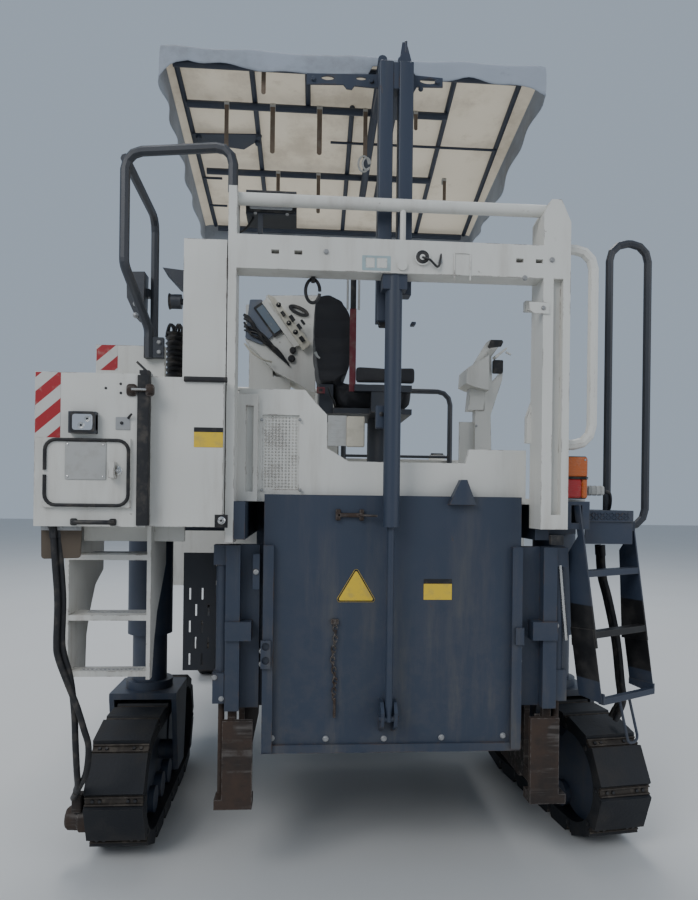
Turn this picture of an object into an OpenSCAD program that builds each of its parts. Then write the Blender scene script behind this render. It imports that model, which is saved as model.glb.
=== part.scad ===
// Compact cold planer: four lifting track units, a milling drum between the rear
// tracks, an operator's deck above it and a slewing discharge conveyor in front.
// Modelled about its centre line, X to its right, Y in the direction of travel.

/* [Overall] */
// Half of the overall width, from the centre line to the locker's side
half_w = 1276; // [1240:1:1320]
// How far the rear lockers hang back behind the rear tracks
locker_overhang = 300; // [260:1:340]
// Running clearance between faces that lie against each other
gap = 0.3; // [0.2:0.05:0.5]
// Radial clearance of a shaft in its bore
fit = 0.05; // [0.02:0.01:0.08]
// Thickness of sheet metal panels
sheet = 6; // [4:0.5:8]

/* [Tracks] */
// Length of a track unit over its shoes
track_len = 1330; // [1280:1:1360]
// Height of a track unit over its shoes
track_h = 550; // [530:1:570]
// Width of the shoes
shoe_w = 245; // [230:1:260]
// Number of shoes on one track
shoe_count = 16; // [15:1:17]
// Thickness of the rubber pad on a shoe
pad_t = 28; // [22:1:32]
// Thickness of the chain under the pads
chain_t = 42; // [36:1:46]
// Distance from the centre line to the middle of a track
gauge_half = 1057; // [1040:1:1070]
// Distance between the rear and front track units
wheelbase = 3000; // [2950:1:3060]
// Angle of the rear right track in its parked pose
toe_angle = 8; // [0:1:8]
// How far the lifting columns raise the machine in its parked pose
body_lift = 115; // [90:1:140]
// Radius of the lifting column inside its sleeve
column_r = 85; // [75:1:92]
// Wall of the lifting column's sleeve
sleeve_wall = 25; // [18:1:30]
// Radius of the track rollers
roller_r = 60; // [50:1:66]
// How far the drive motor reaches out from the middle of its track
motor_out = 148; // [135:1:148]

/* [Milling unit] */
// Sideways offset of the milling unit from the centre line
drum_x = 94; // [90:1:98]
// Milling width
drum_w = 1000; // [990:1:1004]
// Radius over the picks
cut_r = 490; // [470:1:494]
// Radius of the drum's body
drum_body_r = 395; // [370:1:410]
// Distance of the drum's axis ahead of the rear tracks' rear ends
drum_y = 600; // [590:1:610]
// Height of the drum's axis
drum_z = 765; // [755:1:780]
// Radius of the drum's shaft
shaft_r = 80; // [70:1:90]
// Number of rows of picks across the drum
pick_rows = 22; // [18:1:24]
// Picks round one row
picks_round = 5; // [4:1:6]
// Thickness of the housing's side walls
wall_t = 20; // [16:1:24]
// Length of the drum housing
housing_len = 1250; // [1230:1:1260]
// Height of the housing's lower edge
housing_z = 430; // [400:1:450]
// Height of the housing's top, where the frame sits
housing_top = 1290; // [1280:1:1300]

/* [Scraper] */
// Width of the scraper plate
scraper_w = 1070; // [1060:1:1072]
// Height of the scraper's lower edge
scraper_z = 415; // [400:1:430]
// Height of the scraper plate
scraper_h = 1055; // [1030:1:1065]
// Thickness of the scraper plate
scraper_t = 20; // [16:1:24]
// Rear face of the scraper plate
scraper_y = -95; // [-98:1:-92]
// Sideways place of the scraper's cylinder
lift_x = 71; // [60:1:80]
// Radius of the scraper cylinder's rod
lift_rod_r = 15; // [13:1:18]
// Radius of the scraper cylinder's barrel
lift_barrel_r = 34; // [30:1:38]
// Height of the barrel's lower end
barrel_z = 1343; // [1320:1:1370]

/* [Portal and deck] */
// Height of the frame's top, on which the deck lies
frame_top = 1440; // [1430:1:1450]
// Height of the deck's tread surface
deck_z = 1465; // [1462:1:1475]
// Height of the portal beam's underside
beam_z = 2354; // [2330:1:2380]
// Height of the portal beam
beam_h = 133; // [120:1:145]
// Height of the posts
post_top = 2675; // [2650:1:2700]
// Width of the right post
post_w = 112; // [100:1:115]
// Rear face of the portal
portal_y = -200; // [-205:1:-195]
// Depth of the portal beam
beam_d = 100; // [90:1:104]
// Length of the operator's deck
deck_len = 1300; // [1280:1:1320]
// Height of the wall behind the operator, on the left
rear_wall_z = 1906; // [1880:1:1930]
// Columns of holes in the vent grille
vent_cols = 10; // [8:1:11]
// Rows of holes in the vent grille
vent_rows = 23; // [18:1:24]

/* [Lockers] */
// Height of the lockers' floor
locker_z = 1340; // [1330:1:1350]
// Height of the lockers' top
locker_top = 1911; // [1900:1:1920]
// Width of the left locker
locker_w = 405; // [395:1:408]
// Depth of the left locker
locker_d = 550; // [500:1:580]
// Height of the upper cabinet's top
cabinet_top = 2461; // [2400:1:2480]

/* [Engine bay] */
// Height of the engine hood's top
hood_top = 2140; // [2100:1:2150]
// Chamfer along the hood's upper edges
hood_chamfer = 70; // [50:1:90]
// Length of the engine hood
hood_len = 2060; // [2000:1:2080]
// Height of the fuel tank's top
tank_top = 1715; // [1680:1:1720]
// Height of the water tank's top
water_top = 1600; // [1560:1:1660]

/* [Canopy] */
// Width of the canopy
canopy_w = 1715; // [1680:1:1750]
// Length of the canopy
canopy_len = 1300; // [1250:1:1340]
// Angle at which the canopy slopes down to the front
canopy_tilt = 9; // [7:1:11]
// Height of the canopy's rear edge
canopy_z = 3430; // [3400:1:3460]
// Depth of the canopy's valance
valance = 150; // [130:1:170]

/* [Rails and ladders] */
// Height of the grab rails' tops
rail_top = 2855; // [2800:1:2900]
// Radius of the left grab rail's tube
left_rail_r = 20; // [17:1:22]
// Radius of the right grab rail's tube
right_rail_r = 18; // [15:1:20]
// Angle by which the right ladder is turned outwards
ladder_turn = 28; // [24:1:30]
// Angle by which the right ladder leans out, and back, from its top down
ladder_out = 6.9; // [5:0.1:8]
ladder_back = 3.7; // [2:0.1:5]
// Clear width of the right ladder
ladder_w = 330; // [310:1:340]
// Height of the platform above the right ladder
platform_z = 1419; // [1400:1:1430]
// Radius of the holes in the lashing lugs
lug_hole_r = 30; // [25:1:32]

/* [Conveyors] */
// Width of the conveyor belts
belt_w = 500; // [460:1:540]
// Thickness of the conveyor belts
belt_t = 12; // [10:1:16]
// Radius of the conveyors' end rollers
pulley_r = 100; // [90:1:110]
// Distance of the slewing axis ahead of the rear tracks' rear ends
slew_y = 4950; // [4920:1:5000]
// Height of the hinge that lifts the discharge conveyor
hinge_z = 930; // [915:1:940]
// Length of the discharge conveyor ahead of its hinge
boom_len = 5750; // [5500:1:6000]
// Angle of the discharge conveyor as parked
boom_angle = 6; // [4:1:7]

/* [Hidden] */
$fn = 48;
// Heights and radii along a track, worked out from its height
track_r = track_h / 2;
chain_out_r = track_r - pad_t;
chain_in_r = chain_out_r - chain_t;
pitch_r = chain_out_r - chain_t / 2;
track_flat = track_len - track_h;
pitch_len = 2 * track_flat + 2 * PI * pitch_r;
rear_axle_y = track_len / 2;
front_axle_y = rear_axle_y + wheelbase;
// Drum housing, from the drum
inner_w = drum_w + 40;
wall_in_l = drum_x - inner_w / 2;
wall_in_r = drum_x + inner_w / 2;
wall_out_l = wall_in_l - wall_t;
wall_out_r = wall_in_r + wall_t;
// Lifting rods of the side plates, beside the housing's outer walls
edge_rod_x = 162;
edge_rod_y = -65;
edge_rod_r = 13;
edge_guide_x = 117;
edge_guide_z = 590;
foot_z = 205;
// Scraper and its cylinder
scraper_l = drum_x - scraper_w / 2;
scraper_r = drum_x + scraper_w / 2;
scraper_top = scraper_z + scraper_h;
cylinder_y = portal_y + 40;
// Portal
post_l = -588;
post_l_t = 33;
post_r = 673;
beam_top = beam_z + beam_h;
portal_front = portal_y + beam_d;
rail_r = 25;
// Lockers
locker_rear = -locker_overhang;
locker_in = -half_w + locker_w;
cabinet_rear = locker_rear + 50;
upper_rear = cabinet_rear + 50;
hatch_x = [-half_w + 36, locker_in - 54];
hatch_z = [locker_z + 70, locker_z + 327];
hatch_t = 12;
handle_out = 33;
recess_top = locker_z + 48;
// Frame members
beam_x = [430, 560];
cross_d = 145;
arm_end = slew_y + 110;
side_box_y = [track_len + 130, front_axle_y - 830];
lug_t = 40;
lug_z = frame_top - 75;
lug_y = [side_box_y[1] + 120, slew_y - 230];
platform_x = [921, 1130];
// Engine bay
hood_y = deck_len + 115;
hood_x = [-820, -60];
hood_front = hood_y + hood_len;
tank_x = [-40, 820];
water_y = [front_axle_y + cross_d + 70, slew_y - 550];
engine_x = [-700, -180];
engine_y = [hood_y + 485, hood_front - 325];
engine_top = hood_top - 100;
cooler_top = hood_top - 190;
// Exhaust, ahead of the hood and the tank
exhaust_y = hood_front + 90;
exhaust_r = 38;
// Seat
seat_y = 440;
pan_z = 1875;
// Canopy cover
cover_t = 8;
// Discharge conveyor: overall reach
boom_half_w = 350;
yoke_in = 430;
ram_at = 1500;
ram_drop = -185;
tip_y = slew_y + boom_len * cos(boom_angle) + pulley_r + belt_t;
rear_end = locker_rear - hatch_t - handle_out;
mid_y = (tip_y + rear_end) / 2;

// Colours
cream = [0.86, 0.85, 0.80];
slate = [0.20, 0.24, 0.31];
black = [0.07, 0.07, 0.08];
rust = [0.33, 0.22, 0.15];
steel = [0.75, 0.76, 0.78];
canvas = [0.83, 0.76, 0.62];

// A block between two corners, given as ranges along x, y and z
module slab(x, y, z) {
  translate([x[0], y[0], z[0]]) cube([x[1] - x[0], y[1] - y[0], z[1] - z[0]]);
}

// A range along x on the right, or its mirror image when side is -1
function mirrored(side, a, b) = side > 0 ? [a, b] : [-b, -a];

// An outline in y and z, as thick as the range along x
module plate_x(x, outline) {
  translate([x[0], 0, 0]) rotate([90, 0, 90]) linear_extrude(x[1] - x[0]) polygon(outline);
}

// An outline in x and z, as thick as the range along y
module plate_y(y, outline) {
  translate([0, y[1], 0]) rotate([90, 0, 0]) linear_extrude(y[1] - y[0]) polygon(outline);
}

// Round bars along each axis
module bar_x(x, y, z, r) {
  translate([x[0], y, z]) rotate([0, 90, 0]) cylinder(r = r, h = x[1] - x[0]);
}
module bar_y(x, y, z, r) {
  translate([x, y[1], z]) rotate([90, 0, 0]) cylinder(r = r, h = y[1] - y[0]);
}
module bar_z(x, y, z, r) {
  translate([x, y, z[0]]) cylinder(r = r, h = z[1] - z[0]);
}

function unit(v) = v / norm(v);
function turn_at(a, b, c) = acos(unit(b - a) * unit(c - b));
function setback(points, i, bend) =
  i == 0 || i == len(points) - 1 ? 0 :
  bend * tan(turn_at(points[i - 1], points[i], points[i + 1]) / 2);

// The centre line of a tube through corner points, each corner an arc of the same radius
function bent_path(points, bend, steps = 3) =
  let (n = len(points))
  concat([points[0]],
    [for (i = [1 : n - 2])
      let (u = unit(points[i] - points[i - 1]), v = unit(points[i + 1] - points[i]),
           turn = turn_at(points[i - 1], points[i], points[i + 1]),
           centre = points[i] + unit(v - u) * bend / cos(turn / 2),
           ex = unit(points[i] - u * setback(points, i, bend) - centre))
      for (k = [0 : steps])
        centre + bend * (cos(turn * k / steps) * ex + sin(turn * k / steps) * u)],
    [points[n - 1]]);

function tangent(path, i) =
  unit(path[min(i + 1, len(path) - 1)] - path[max(i - 1, 0)]);

// Unit vectors across a path, each turned as little as possible from the one before
function across(path, i = 0, last = undef) =
  i == len(path) ? [] :
  let (t = tangent(path, i),
       seed = last == undef ? (abs(t[2]) > 0.9 ? [1, 0, 0] : [0, 0, 1]) : last,
       here = unit(seed - (seed * t) * t))
  concat([here], across(path, i + 1, here));

// A round tube swept along a path
module sweep(path, r, sides = 8) {
  n = len(path);
  side_dirs = across(path);
  rings = [for (i = [0 : n - 1])
    let (a = side_dirs[i], b = cross(tangent(path, i), a))
    for (j = [0 : sides - 1])
      path[i] + r * (cos(j * 360 / sides) * a + sin(j * 360 / sides) * b)];
  walls = [for (i = [0 : n - 2], j = [0 : sides - 1])
    let (k = (j + 1) % sides)
    [i * sides + k, i * sides + j, (i + 1) * sides + j, (i + 1) * sides + k]];
  polyhedron(points = rings,
             faces = concat(walls, [[for (j = [0 : sides - 1]) j]],
                            [[for (j = [sides - 1 : -1 : 0]) (n - 1) * sides + j]]));
}

// A bent tube through corner points
module tube_run(points, r, bend) {
  sweep(bent_path(points, bend), r);
}

// A point beside the pitch line of a track at distance s along it, off from it
function track_point(s, off) =
  let (arc = PI * pitch_r, s1 = s % pitch_len)
  s1 < track_flat ? [s1 - track_flat / 2, -pitch_r - off] :
  s1 < track_flat + arc ?
    let (a = -90 + (s1 - track_flat) / pitch_r * 180 / PI)
    [track_flat / 2 + (pitch_r + off) * cos(a), (pitch_r + off) * sin(a)] :
  s1 < 2 * track_flat + arc ?
    [track_flat / 2 - (s1 - track_flat - arc), pitch_r + off] :
    let (a = 90 + (s1 - 2 * track_flat - arc) / pitch_r * 180 / PI)
    [-track_flat / 2 + (pitch_r + off) * cos(a), (pitch_r + off) * sin(a)];

// The outline of a track: four points on each shoe, chain and pad
function track_outline() =
  let (pitch = pitch_len / shoe_count, base = chain_t / 2, top = base + pad_t)
  [for (i = [0 : shoe_count - 1], p = [[-0.44, base], [-0.36, top], [0.36, top], [0.44, base]])
    track_point((i + 0.5 + p[0]) * pitch, p[1])];

// One track as a fixed loop, on its own centre
module track_loop() {
  color(black)
    translate([-shoe_w / 2, 0, track_r]) rotate([90, 0, 90])
      linear_extrude(shoe_w)
        difference() {
          polygon(track_outline());
          translate([-track_flat / 2, -chain_in_r]) square([track_flat, 2 * chain_in_r]);
          for (end = [-1, 1])
            translate([end * track_flat / 2, 0]) circle(r = chain_in_r);
        }
}

// What one track runs on: side frame, sprocket, idler, rollers, drive motor,
// the fork over the track and the lifting column; side is 1 when its outer side is +x
module carrier(side) {
  reach = track_flat / 2;
  frame_half = 55;
  leg_in = shoe_w / 2 + 16;
  leg_out = leg_in + 24;
  fork_z = track_h + 22;
  color(slate) {
    translate([0, 0, track_r]) {
      plate_x([-frame_half, frame_half],
              [[-reach + 90, -110], [reach - 60, -110], [reach + 30, -40], [reach + 30, 40],
               [reach - 90, 120], [-reach + 120, 120], [-reach - 30, 40], [-reach - 30, -40]]);
      for (end = [-1, 1])
        bar_x([-30 - frame_half * 0.6, 30 + frame_half * 0.6], end * reach, 0, chain_in_r - gap);
      for (i = [-1.5 : 1 : 1.5])
        bar_x([-frame_half - 35, frame_half + 35], i * track_flat / 4.6, -chain_in_r + roller_r + gap,
              roller_r);
      bar_x([-frame_half - 15, frame_half + 15], 0, chain_in_r - 45 - gap, 45);
      bar_x([-leg_out, leg_out], 0, 0, 48);
      bar_x([side > 0 ? 0 : -motor_out, side > 0 ? motor_out : 0], -reach, 0, 118);
    }
    for (s = [-1, 1])
      plate_x(s > 0 ? [leg_in, leg_out] : [-leg_out, -leg_in],
              [[-80, track_r - 75], [80, track_r - 75], [150, fork_z], [150, fork_z + 30],
               [-150, fork_z + 30], [-150, fork_z]]);
    slab([-leg_out, leg_out], [-150, 150], [fork_z, fork_z + 30]);
    bar_z(0, 0, [fork_z + 30, fork_z + 70], column_r + 30);
  }
  color(steel) bar_z(0, 0, [fork_z + 70, frame_top - 60 + body_lift], column_r);
}

// Places a track unit: side is -1 on the left and 1 on the right
module at_unit(side, y, turn = 0) {
  translate([side * gauge_half, y, 0]) rotate([0, 0, turn]) children();
}

// Sleeve of a lifting column, on its own centre
module sleeve() {
  difference() {
    bar_z(0, 0, [760, frame_top], column_r + sleeve_wall);
    bar_z(0, 0, [759, frame_top - 40], column_r + fit);
  }
}

// Main frame: two long beams, the cross beams with their column sleeves,
// the lashing lugs, and the arms that carry the portal and the slewing conveyor
module main_frame() {
  color(slate) {
    for (side = [-1, 1]) {
      x = side > 0 ? beam_x : [-beam_x[1], -beam_x[0]];
      plate_x(x, [[rear_axle_y - cross_d, housing_top], [housing_len + 10, housing_top],
                  [housing_len + 10, 1010], [3250, 1010], [4380, 1180],
                  [slew_y - 210, housing_top + 10], [arm_end, housing_top + 10],
                  [arm_end, frame_top], [rear_axle_y - cross_d, frame_top]]);
      for (y = lug_y)
        difference() {
          slab(side > 0 ? [beam_x[1], beam_x[1] + 95] : [-beam_x[1] - 95, -beam_x[1]],
               [y - 60, y + 60], [lug_z - lug_t / 2, lug_z + lug_t / 2]);
          bar_z(side * (beam_x[1] + 50), y, [lug_z - lug_t, lug_z + lug_t], lug_hole_r);
        }
      for (y = [rear_axle_y, front_axle_y])
        at_unit(side, y) sleeve();
    }
    for (y = [rear_axle_y, front_axle_y])
      difference() {
        slab([-gauge_half - 60, gauge_half + 60], [y - cross_d, y + cross_d], [housing_top, frame_top]);
        for (side = [-1, 1])
          translate([side * gauge_half, y, 0]) bar_z(0, 0, [housing_top - 1, frame_top - 40],
                                                     column_r + sleeve_wall / 2);
      }
    slab([post_l + post_l_t, post_l + post_l_t + 45], [portal_y, rear_axle_y - cross_d + 10],
         [housing_top, frame_top]);
    slab([700, 760], [portal_front + 40, rear_axle_y - cross_d + 10], [housing_top, frame_top]);
    difference() {
      slab([-beam_x[1], beam_x[1]], [slew_y - 90, arm_end], [housing_top + 10, frame_top]);
      bar_z(0, slew_y, [housing_top, frame_top + 1], 60 + fit);
    }
  }
}

// Drum housing: two side walls with a round lower cut, the shell over the drum
// and the front wall with the conveyor's mouth
module drum_housing() {
  shell_r = cut_r + 18;
  arch = [for (a = [180 : -10 : 0]) [drum_y + shell_r * cos(a), drum_z + shell_r * sin(a)]];
  color(slate) {
    for (x = [[wall_out_l, wall_in_l], [wall_in_r, wall_out_r]])
      difference() {
        plate_x(x, [[-30, housing_z + 60], [40, housing_z], [housing_len - 120, housing_z],
                    [housing_len, housing_z + 120], [housing_len, housing_top], [-30, housing_top]]);
        bar_x([x[0] - 1, x[1] + 1], drum_y, drum_z, shaft_r + fit);
      }
    plate_x([wall_in_l, wall_in_r],
            concat([[-30, drum_z + 480]], [for (p = arch) if (p[1] > drum_z + 200) p],
                   [[housing_len - 20, drum_z + 200], [housing_len, drum_z + 200],
                    [housing_len, housing_top], [-30, housing_top]]));
    slab([wall_in_l, -belt_w / 2 - 90], [housing_len - 20, housing_len], [housing_z + 130, drum_z + 200]);
    slab([belt_w / 2 + 90, wall_in_r], [housing_len - 20, housing_len], [housing_z + 130, drum_z + 200]);
    for (side = [-1, 1])
      translate([side < 0 ? wall_out_l : wall_out_r, 0, 0]) edge_guide(side);
  }
}

// Guide of a side plate, from the outer face of the housing's wall: a square tube round
// its bar, a flat plate beside it, and the sleeve of its rod
module edge_guide(side) {
  outline = [[-2, -20], [-2, -29], [12, -29], [12, -60], [88, -60], [88, -110], [146, -110],
             [146, -20]];
  translate([0, 0, edge_guide_z])
    linear_extrude(1262 - edge_guide_z)
      difference() {
        polygon([for (p = outline) [side * p[0], p[1]]]);
        translate([side * edge_guide_x - 22.5, -87]) square([45, 34]);
      }
  slab(mirrored(side, 41, 146), [-122, -110], [876, 953]);
  slab(mirrored(side, 41, 89), [-111, -60], [876, 953]);
  difference() {
    union() {
      bar_z(side * edge_rod_x, edge_rod_y, [640, 1262], 26);
      slab(mirrored(side, 146, 196), [-97, -37], [618, 747]);
      slab(mirrored(side, 146, 196), [-97, -37], [1180, 1262]);
    }
    bar_z(side * edge_rod_x, edge_rod_y, [617, 1263], edge_rod_r + fit);
  }
}

// Portal: posts, beam and top rail that carry the scraper's cylinder
module portal() {
  color(cream) {
    slab([post_l, post_l + post_l_t], [portal_y, portal_front + 20], [1277, post_top]);
    difference() {
      plate_y([portal_y, portal_front + 40],
              [[post_r, 1341], [post_r + post_w, 1341], [post_r + post_w, post_top - 90],
               [post_r + post_w - 40, post_top], [post_r + post_w - 80, post_top],
               [post_r, post_top - 60]]);
      slab([post_r + post_w - 70, post_r + post_w - 30], [portal_y - 1, portal_y + 30], [1400, beam_z]);
    }
    difference() {
      slab([post_l + post_l_t, post_r], [portal_y, portal_front], [beam_z, beam_top]);
      for (x = [-420, -330, 560, 640])
        slab([x, x + 30], [portal_y - 1, portal_front + 1], [beam_z + 60, beam_z + 76]);
    }
    bar_x([post_l + post_l_t, post_r + 20], portal_y + 50, post_top - 30, rail_r);
    bar_z(lift_x + 35, portal_y + 50, [beam_top, post_top - 30], 12);
    plate_y([portal_front + 30, portal_front + 60],
            [[655, 1700], [751, 1700], [751, beam_z - 2], [709, beam_z - 2], [709, 2054],
             [684, 2053], [686, 1898], [655, 1811]]);
    slab([640, 715], [portal_front + 20, portal_front + 50], [2256, 2298]);
  }
  color(black)
    for (p = [[lift_x + 27, beam_z + 30, 20], [lift_x + 107, beam_z + 65, 32]])
      bar_y(p[0], [portal_y - 8, portal_y], p[1], p[2]);
}

// Deck: floor, bulkhead and the white walls round the operator
module deck() {
  wall_y = -50;
  wall = 30;
  left = post_l + post_l_t + 3;
  color(slate) {
    slab([locker_in, 920], [wall_y, deck_len], [frame_top, deck_z]);
    slab([hood_x[0] + 10, hood_x[1] - 10], [deck_len, hood_y - 20], [frame_top, deck_z]);
  }
  color(cream) {
    difference() {
      plate_y([wall_y, wall_y + wall],
              [[left, deck_z], [left, rear_wall_z], [-281, rear_wall_z], [-188, 1804], [-187, 1666],
               [-94, 1611], [400, 1611], [414, 1670], [660, 1670], [660, deck_z]]);
      slab([-455, -303], [wall_y - 1, wall_y + wall + 1], [1490, 1800]);
    }
    difference() {
      slab([-560, -472], [portal_front + 20, wall_y], [1441, 1880]);
      slab([-520, -490], [portal_front + 19, wall_y - 12], [1480, 1832]);
    }
    slab([640, 660], [wall_y + wall, deck_len], [deck_z, 1670]);
    slab([-866, 660], [deck_len - 20, deck_len], [deck_z, 1700]);
    slab([hood_x[0] + 10, hood_x[1] - 10], [hood_y - 40, hood_y - 20], [deck_z, hood_top - 20]);
  }
}

// Vent grille: a flat plate with rows of round holes
module vent_grille() {
  pitch_x = 140 / vent_cols;
  pitch_z = 300 / vent_rows;
  color(cream)
    translate([-455 + gap, -36, 1490 + gap]) rotate([90, 0, 0])
      linear_extrude(4)
        difference() {
          square([152 - 2 * gap, 310 - 2 * gap]);
          for (i = [0 : vent_cols - 1], j = [0 : vent_rows - 1])
            translate([6 + (i + 0.5) * pitch_x, 5 + (j + 0.5) * pitch_z]) circle(d = 9, $fn = 8);
        }
}

// Left locker: a hollow box with an opening behind its hatch
module left_locker() {
  color(cream) {
    difference() {
      slab([-half_w, locker_in], [locker_rear, locker_rear + locker_d], [locker_z, locker_top]);
      slab([-half_w + sheet, locker_in - sheet], [locker_rear + sheet, locker_rear + locker_d - sheet],
           [locker_z + sheet, locker_top - sheet]);
      slab([hatch_x[0] + 20, hatch_x[1] - 20], [locker_rear - 1, locker_rear + sheet + 1],
           [hatch_z[0] + 20, hatch_z[1] - 20]);
    }
    slab([-1174, locker_in - 14], [90, 120], [locker_top, 2102]);
  }
}

// Hatch of the left locker, with its hinge knuckles and pull
module locker_hatch() {
  color(cream) {
    slab(hatch_x, [locker_rear - hatch_t, locker_rear - gap], hatch_z);
    for (z = [hatch_z[0] + 20, hatch_z[1] - 80])
      bar_z(hatch_x[0], locker_rear - hatch_t / 2, [z, z + 60], hatch_t / 2 - gap);
  }
  color(black)
    translate([hatch_x[1] - 70, locker_rear - hatch_t - handle_out, hatch_z[0] + 110])
      difference() {
        cube([20, handle_out, 60]);
        translate([-1, 14, 12]) cube([22, handle_out, 36]);
      }
}

// Middle and upper cabinets on the left of the deck, the middle one with a recess
module cabinets() {
  color(cream) {
    difference() {
      slab([locker_in + 5, post_l - 4], [cabinet_rear, -50], [locker_z, locker_top]);
      slab([post_l - 32, post_l], [cabinet_rear - 1, cabinet_rear + 60], [locker_z - 1, recess_top]);
    }
    slab([-758, post_l - 4], [upper_rear, upper_rear + 350], [locker_top, cabinet_top]);
  }
}

// The hood's form between two ranges, drawn in by t all round
module hood_form(t) {
  top = hood_top - t;
  front = hood_front - t;
  c = hood_chamfer - 0.6 * t;
  intersection() {
    plate_x([hood_x[0] + t, hood_x[1] - t],
            [[hood_y - t, frame_top + gap - t], [front, frame_top + gap - t], [front, top - 160],
             [front - 180, top], [hood_y - t, top]]);
    plate_y([hood_y - 10, hood_front],
            [[hood_x[0] + t, frame_top - 10], [hood_x[1] - t, frame_top - 10],
             [hood_x[1] - t, top - c], [hood_x[1] - t - c, top], [hood_x[0] + t + c, top],
             [hood_x[0] + t, top - c]]);
  }
}

// Engine hood: top, sides and front, with louvres, hinged at its rear upper edge
module engine_hood() {
  knuckles = [[hood_x[0] + 120, 120], [hood_x[1] - 240, 120]]; // start along x, length
  color(cream) {
    difference() {
      hood_form(0);
      hood_form(sheet);
      for (i = [0 : 7])
        slab([hood_x[0] - 1, hood_x[0] + sheet + 1], [hood_y + 300, hood_y + 900],
             [frame_top + 160 + i * 50, frame_top + 180 + i * 50]);
      for (i = [0 : 8])
        slab([hood_x[0] + 60, hood_x[1] - 60], [hood_front - sheet - 1, hood_front + 1],
             [frame_top + 60 + i * 50, frame_top + 90 + i * 50]);
    }
    for (k = knuckles)
      bar_x([k[0], k[0] + k[1]], hood_y, hood_top, 12);
  }
}

// Engine as one block
module engine_block() {
  color(black)
    slab(engine_x, engine_y, [frame_top, engine_top]);
}

// Cooler core behind the hood's grille
module cooler() {
  color(slate)
    slab([hood_x[0] + 50, hood_x[1] - 50], [hood_front - 150, hood_front - 60],
         [frame_top, cooler_top]);
}

// Exhaust pipe ahead of the hood, with its mouth to the front
module exhaust() {
  color(rust)
    sweep(bent_path([[10, exhaust_y, frame_top], [10, exhaust_y, hood_top - 240],
                     [10, exhaust_y + 100, hood_top - 180]], 70, 4), exhaust_r, 12);
}

// Fuel and oil tank on the right
module fuel_tank() {
  color(cream) {
    plate_y([hood_y, hood_front],
            [[tank_x[0], frame_top], [tank_x[1], frame_top], [tank_x[1], tank_top - 60],
             [tank_x[1] - 60, tank_top], [tank_x[0], tank_top]]);
  }
  color(black)
    for (y = [hood_y + 250, hood_y + 1200])
      bar_z(tank_x[1] - 200, y, [tank_top, tank_top + 45], 55);
}

// Water tank across the front, with its fillers
module water_tank() {
  color(cream)
    plate_x([-850, 850],
            [[water_y[0], frame_top], [water_y[1], frame_top], [water_y[1], water_top - 80],
             [water_y[1] - 100, water_top], [water_y[0], water_top]]);
  color(black)
    for (x = [-500, 500])
      bar_z(x, water_y[0] + 150, [water_top, water_top + 40], 60);
}

// Side boxes between the tracks, bolted to the long beams
module side_boxes() {
  color(cream)
    for (side = [-1, 1])
      plate_y(side_box_y, [[side * beam_x[1], 900], [side * 1120, 900], [side * 1160, 960],
                           [side * 1160, frame_top - 40], [side * beam_x[1], frame_top - 40]]);
}

// Control console on the left of the operator: a sloped desk with its switch panel,
// a back plate, and the pedestal under it
module left_console() {
  y = deck_len - 560;
  color(cream) {
    plate_y([y, y + 250],
            [[-598, 2290], [-452, 2143], [-441, 2131], [-299, 2055], [-225, 2015],
             [-225, 2250], [-234, 2372], [-465, 2492], [-506, 2497], [-598, 2476]]);
    plate_y([y + 250, y + 262],
            [[-507, 2400], [-234, 2300], [-166, 2499], [-167, 2560], [-202, 2615], [-507, 2604]]);
    slab([-582, -455], [y + 60, y + 200], [deck_z, 2280]);
    slab([-455, -360], [y + 60, y + 200], [deck_z, 2110]);
  }
  color(slate)
    plate_y([y - 24, y], [[-494, 2504], [-512, 2486], [-340, 2254], [-310, 2268]]);
}

// Control box on the right of the operator: post, box, side panel and lever
module right_console() {
  y = 600;
  color(cream) {
    plate_y([y - 30, y + 30],
            [[598, deck_z], [638, deck_z], [638, 1690], [685, 1719], [679, 1898], [738, 2083],
             [741, 2132], [685, 2066], [679, 2201], [648, 2201], [645, 1922], [598, 1921]]);
    plate_y([y - 90, y + 90],
            [[534, 2050], [571, 2035], [653, 2016], [651, 2197], [582, 2151], [549, 2133],
             [539, 2123]]);
    plate_y([y - 40, y + 40], [[560, 1921], [640, 1921], [645, 2020], [571, 2037]]);
  }
  color(black) {
    slab([521, 600], [y - 5, y + 5], [1650, 1863]);
    plate_y([y - 25, y + 25], [[600, 2155], [645, 2190], [675, 2194], [722, 2259], [658, 2269]]);
  }
}

// Seat pedestal, pan, back frame and arm; the seat looks to the right
module seat_frame() {
  color(black) {
    bar_z(95, seat_y, [deck_z, pan_z - 20], 68);
    slab([-150, 215], [seat_y - 195, seat_y + 200], [pan_z - 25, pan_z]);
    slab([-215, -150], [seat_y - 180, seat_y + 180], [pan_z - 25, pan_z + 110]);
    slab([-57, 205], [seat_y - 255, seat_y - 200], [pan_z + 70, pan_z + 100]);
    slab([20, 80], [seat_y - 250, seat_y - 200], [pan_z - 25, pan_z + 100]);
    slab([20, 80], [seat_y - 250, seat_y - 190], [pan_z - 25, pan_z]);
  }
}

// Cushion, back and arm pad of the seat
module seat_cushions() {
  back_z = pan_z + 110 + gap;
  color([0.10, 0.10, 0.12]) {
    slab([-142, 225], [seat_y - 192, seat_y + 200], [pan_z + gap, pan_z + 125]);
    plate_y([seat_y - 220, seat_y + 220],
            [[-224, back_z], [-143 - gap, back_z], [-75, 2030], [-55, 2230], [-75, 2315],
             [-112, 2375], [-173, 2403], [-246, 2391], [-250, 2181]]);
    slab([-57, 227], [seat_y - 262, seat_y - 205], [pan_z + 100 + gap, pan_z + 190]);
  }
}

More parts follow.
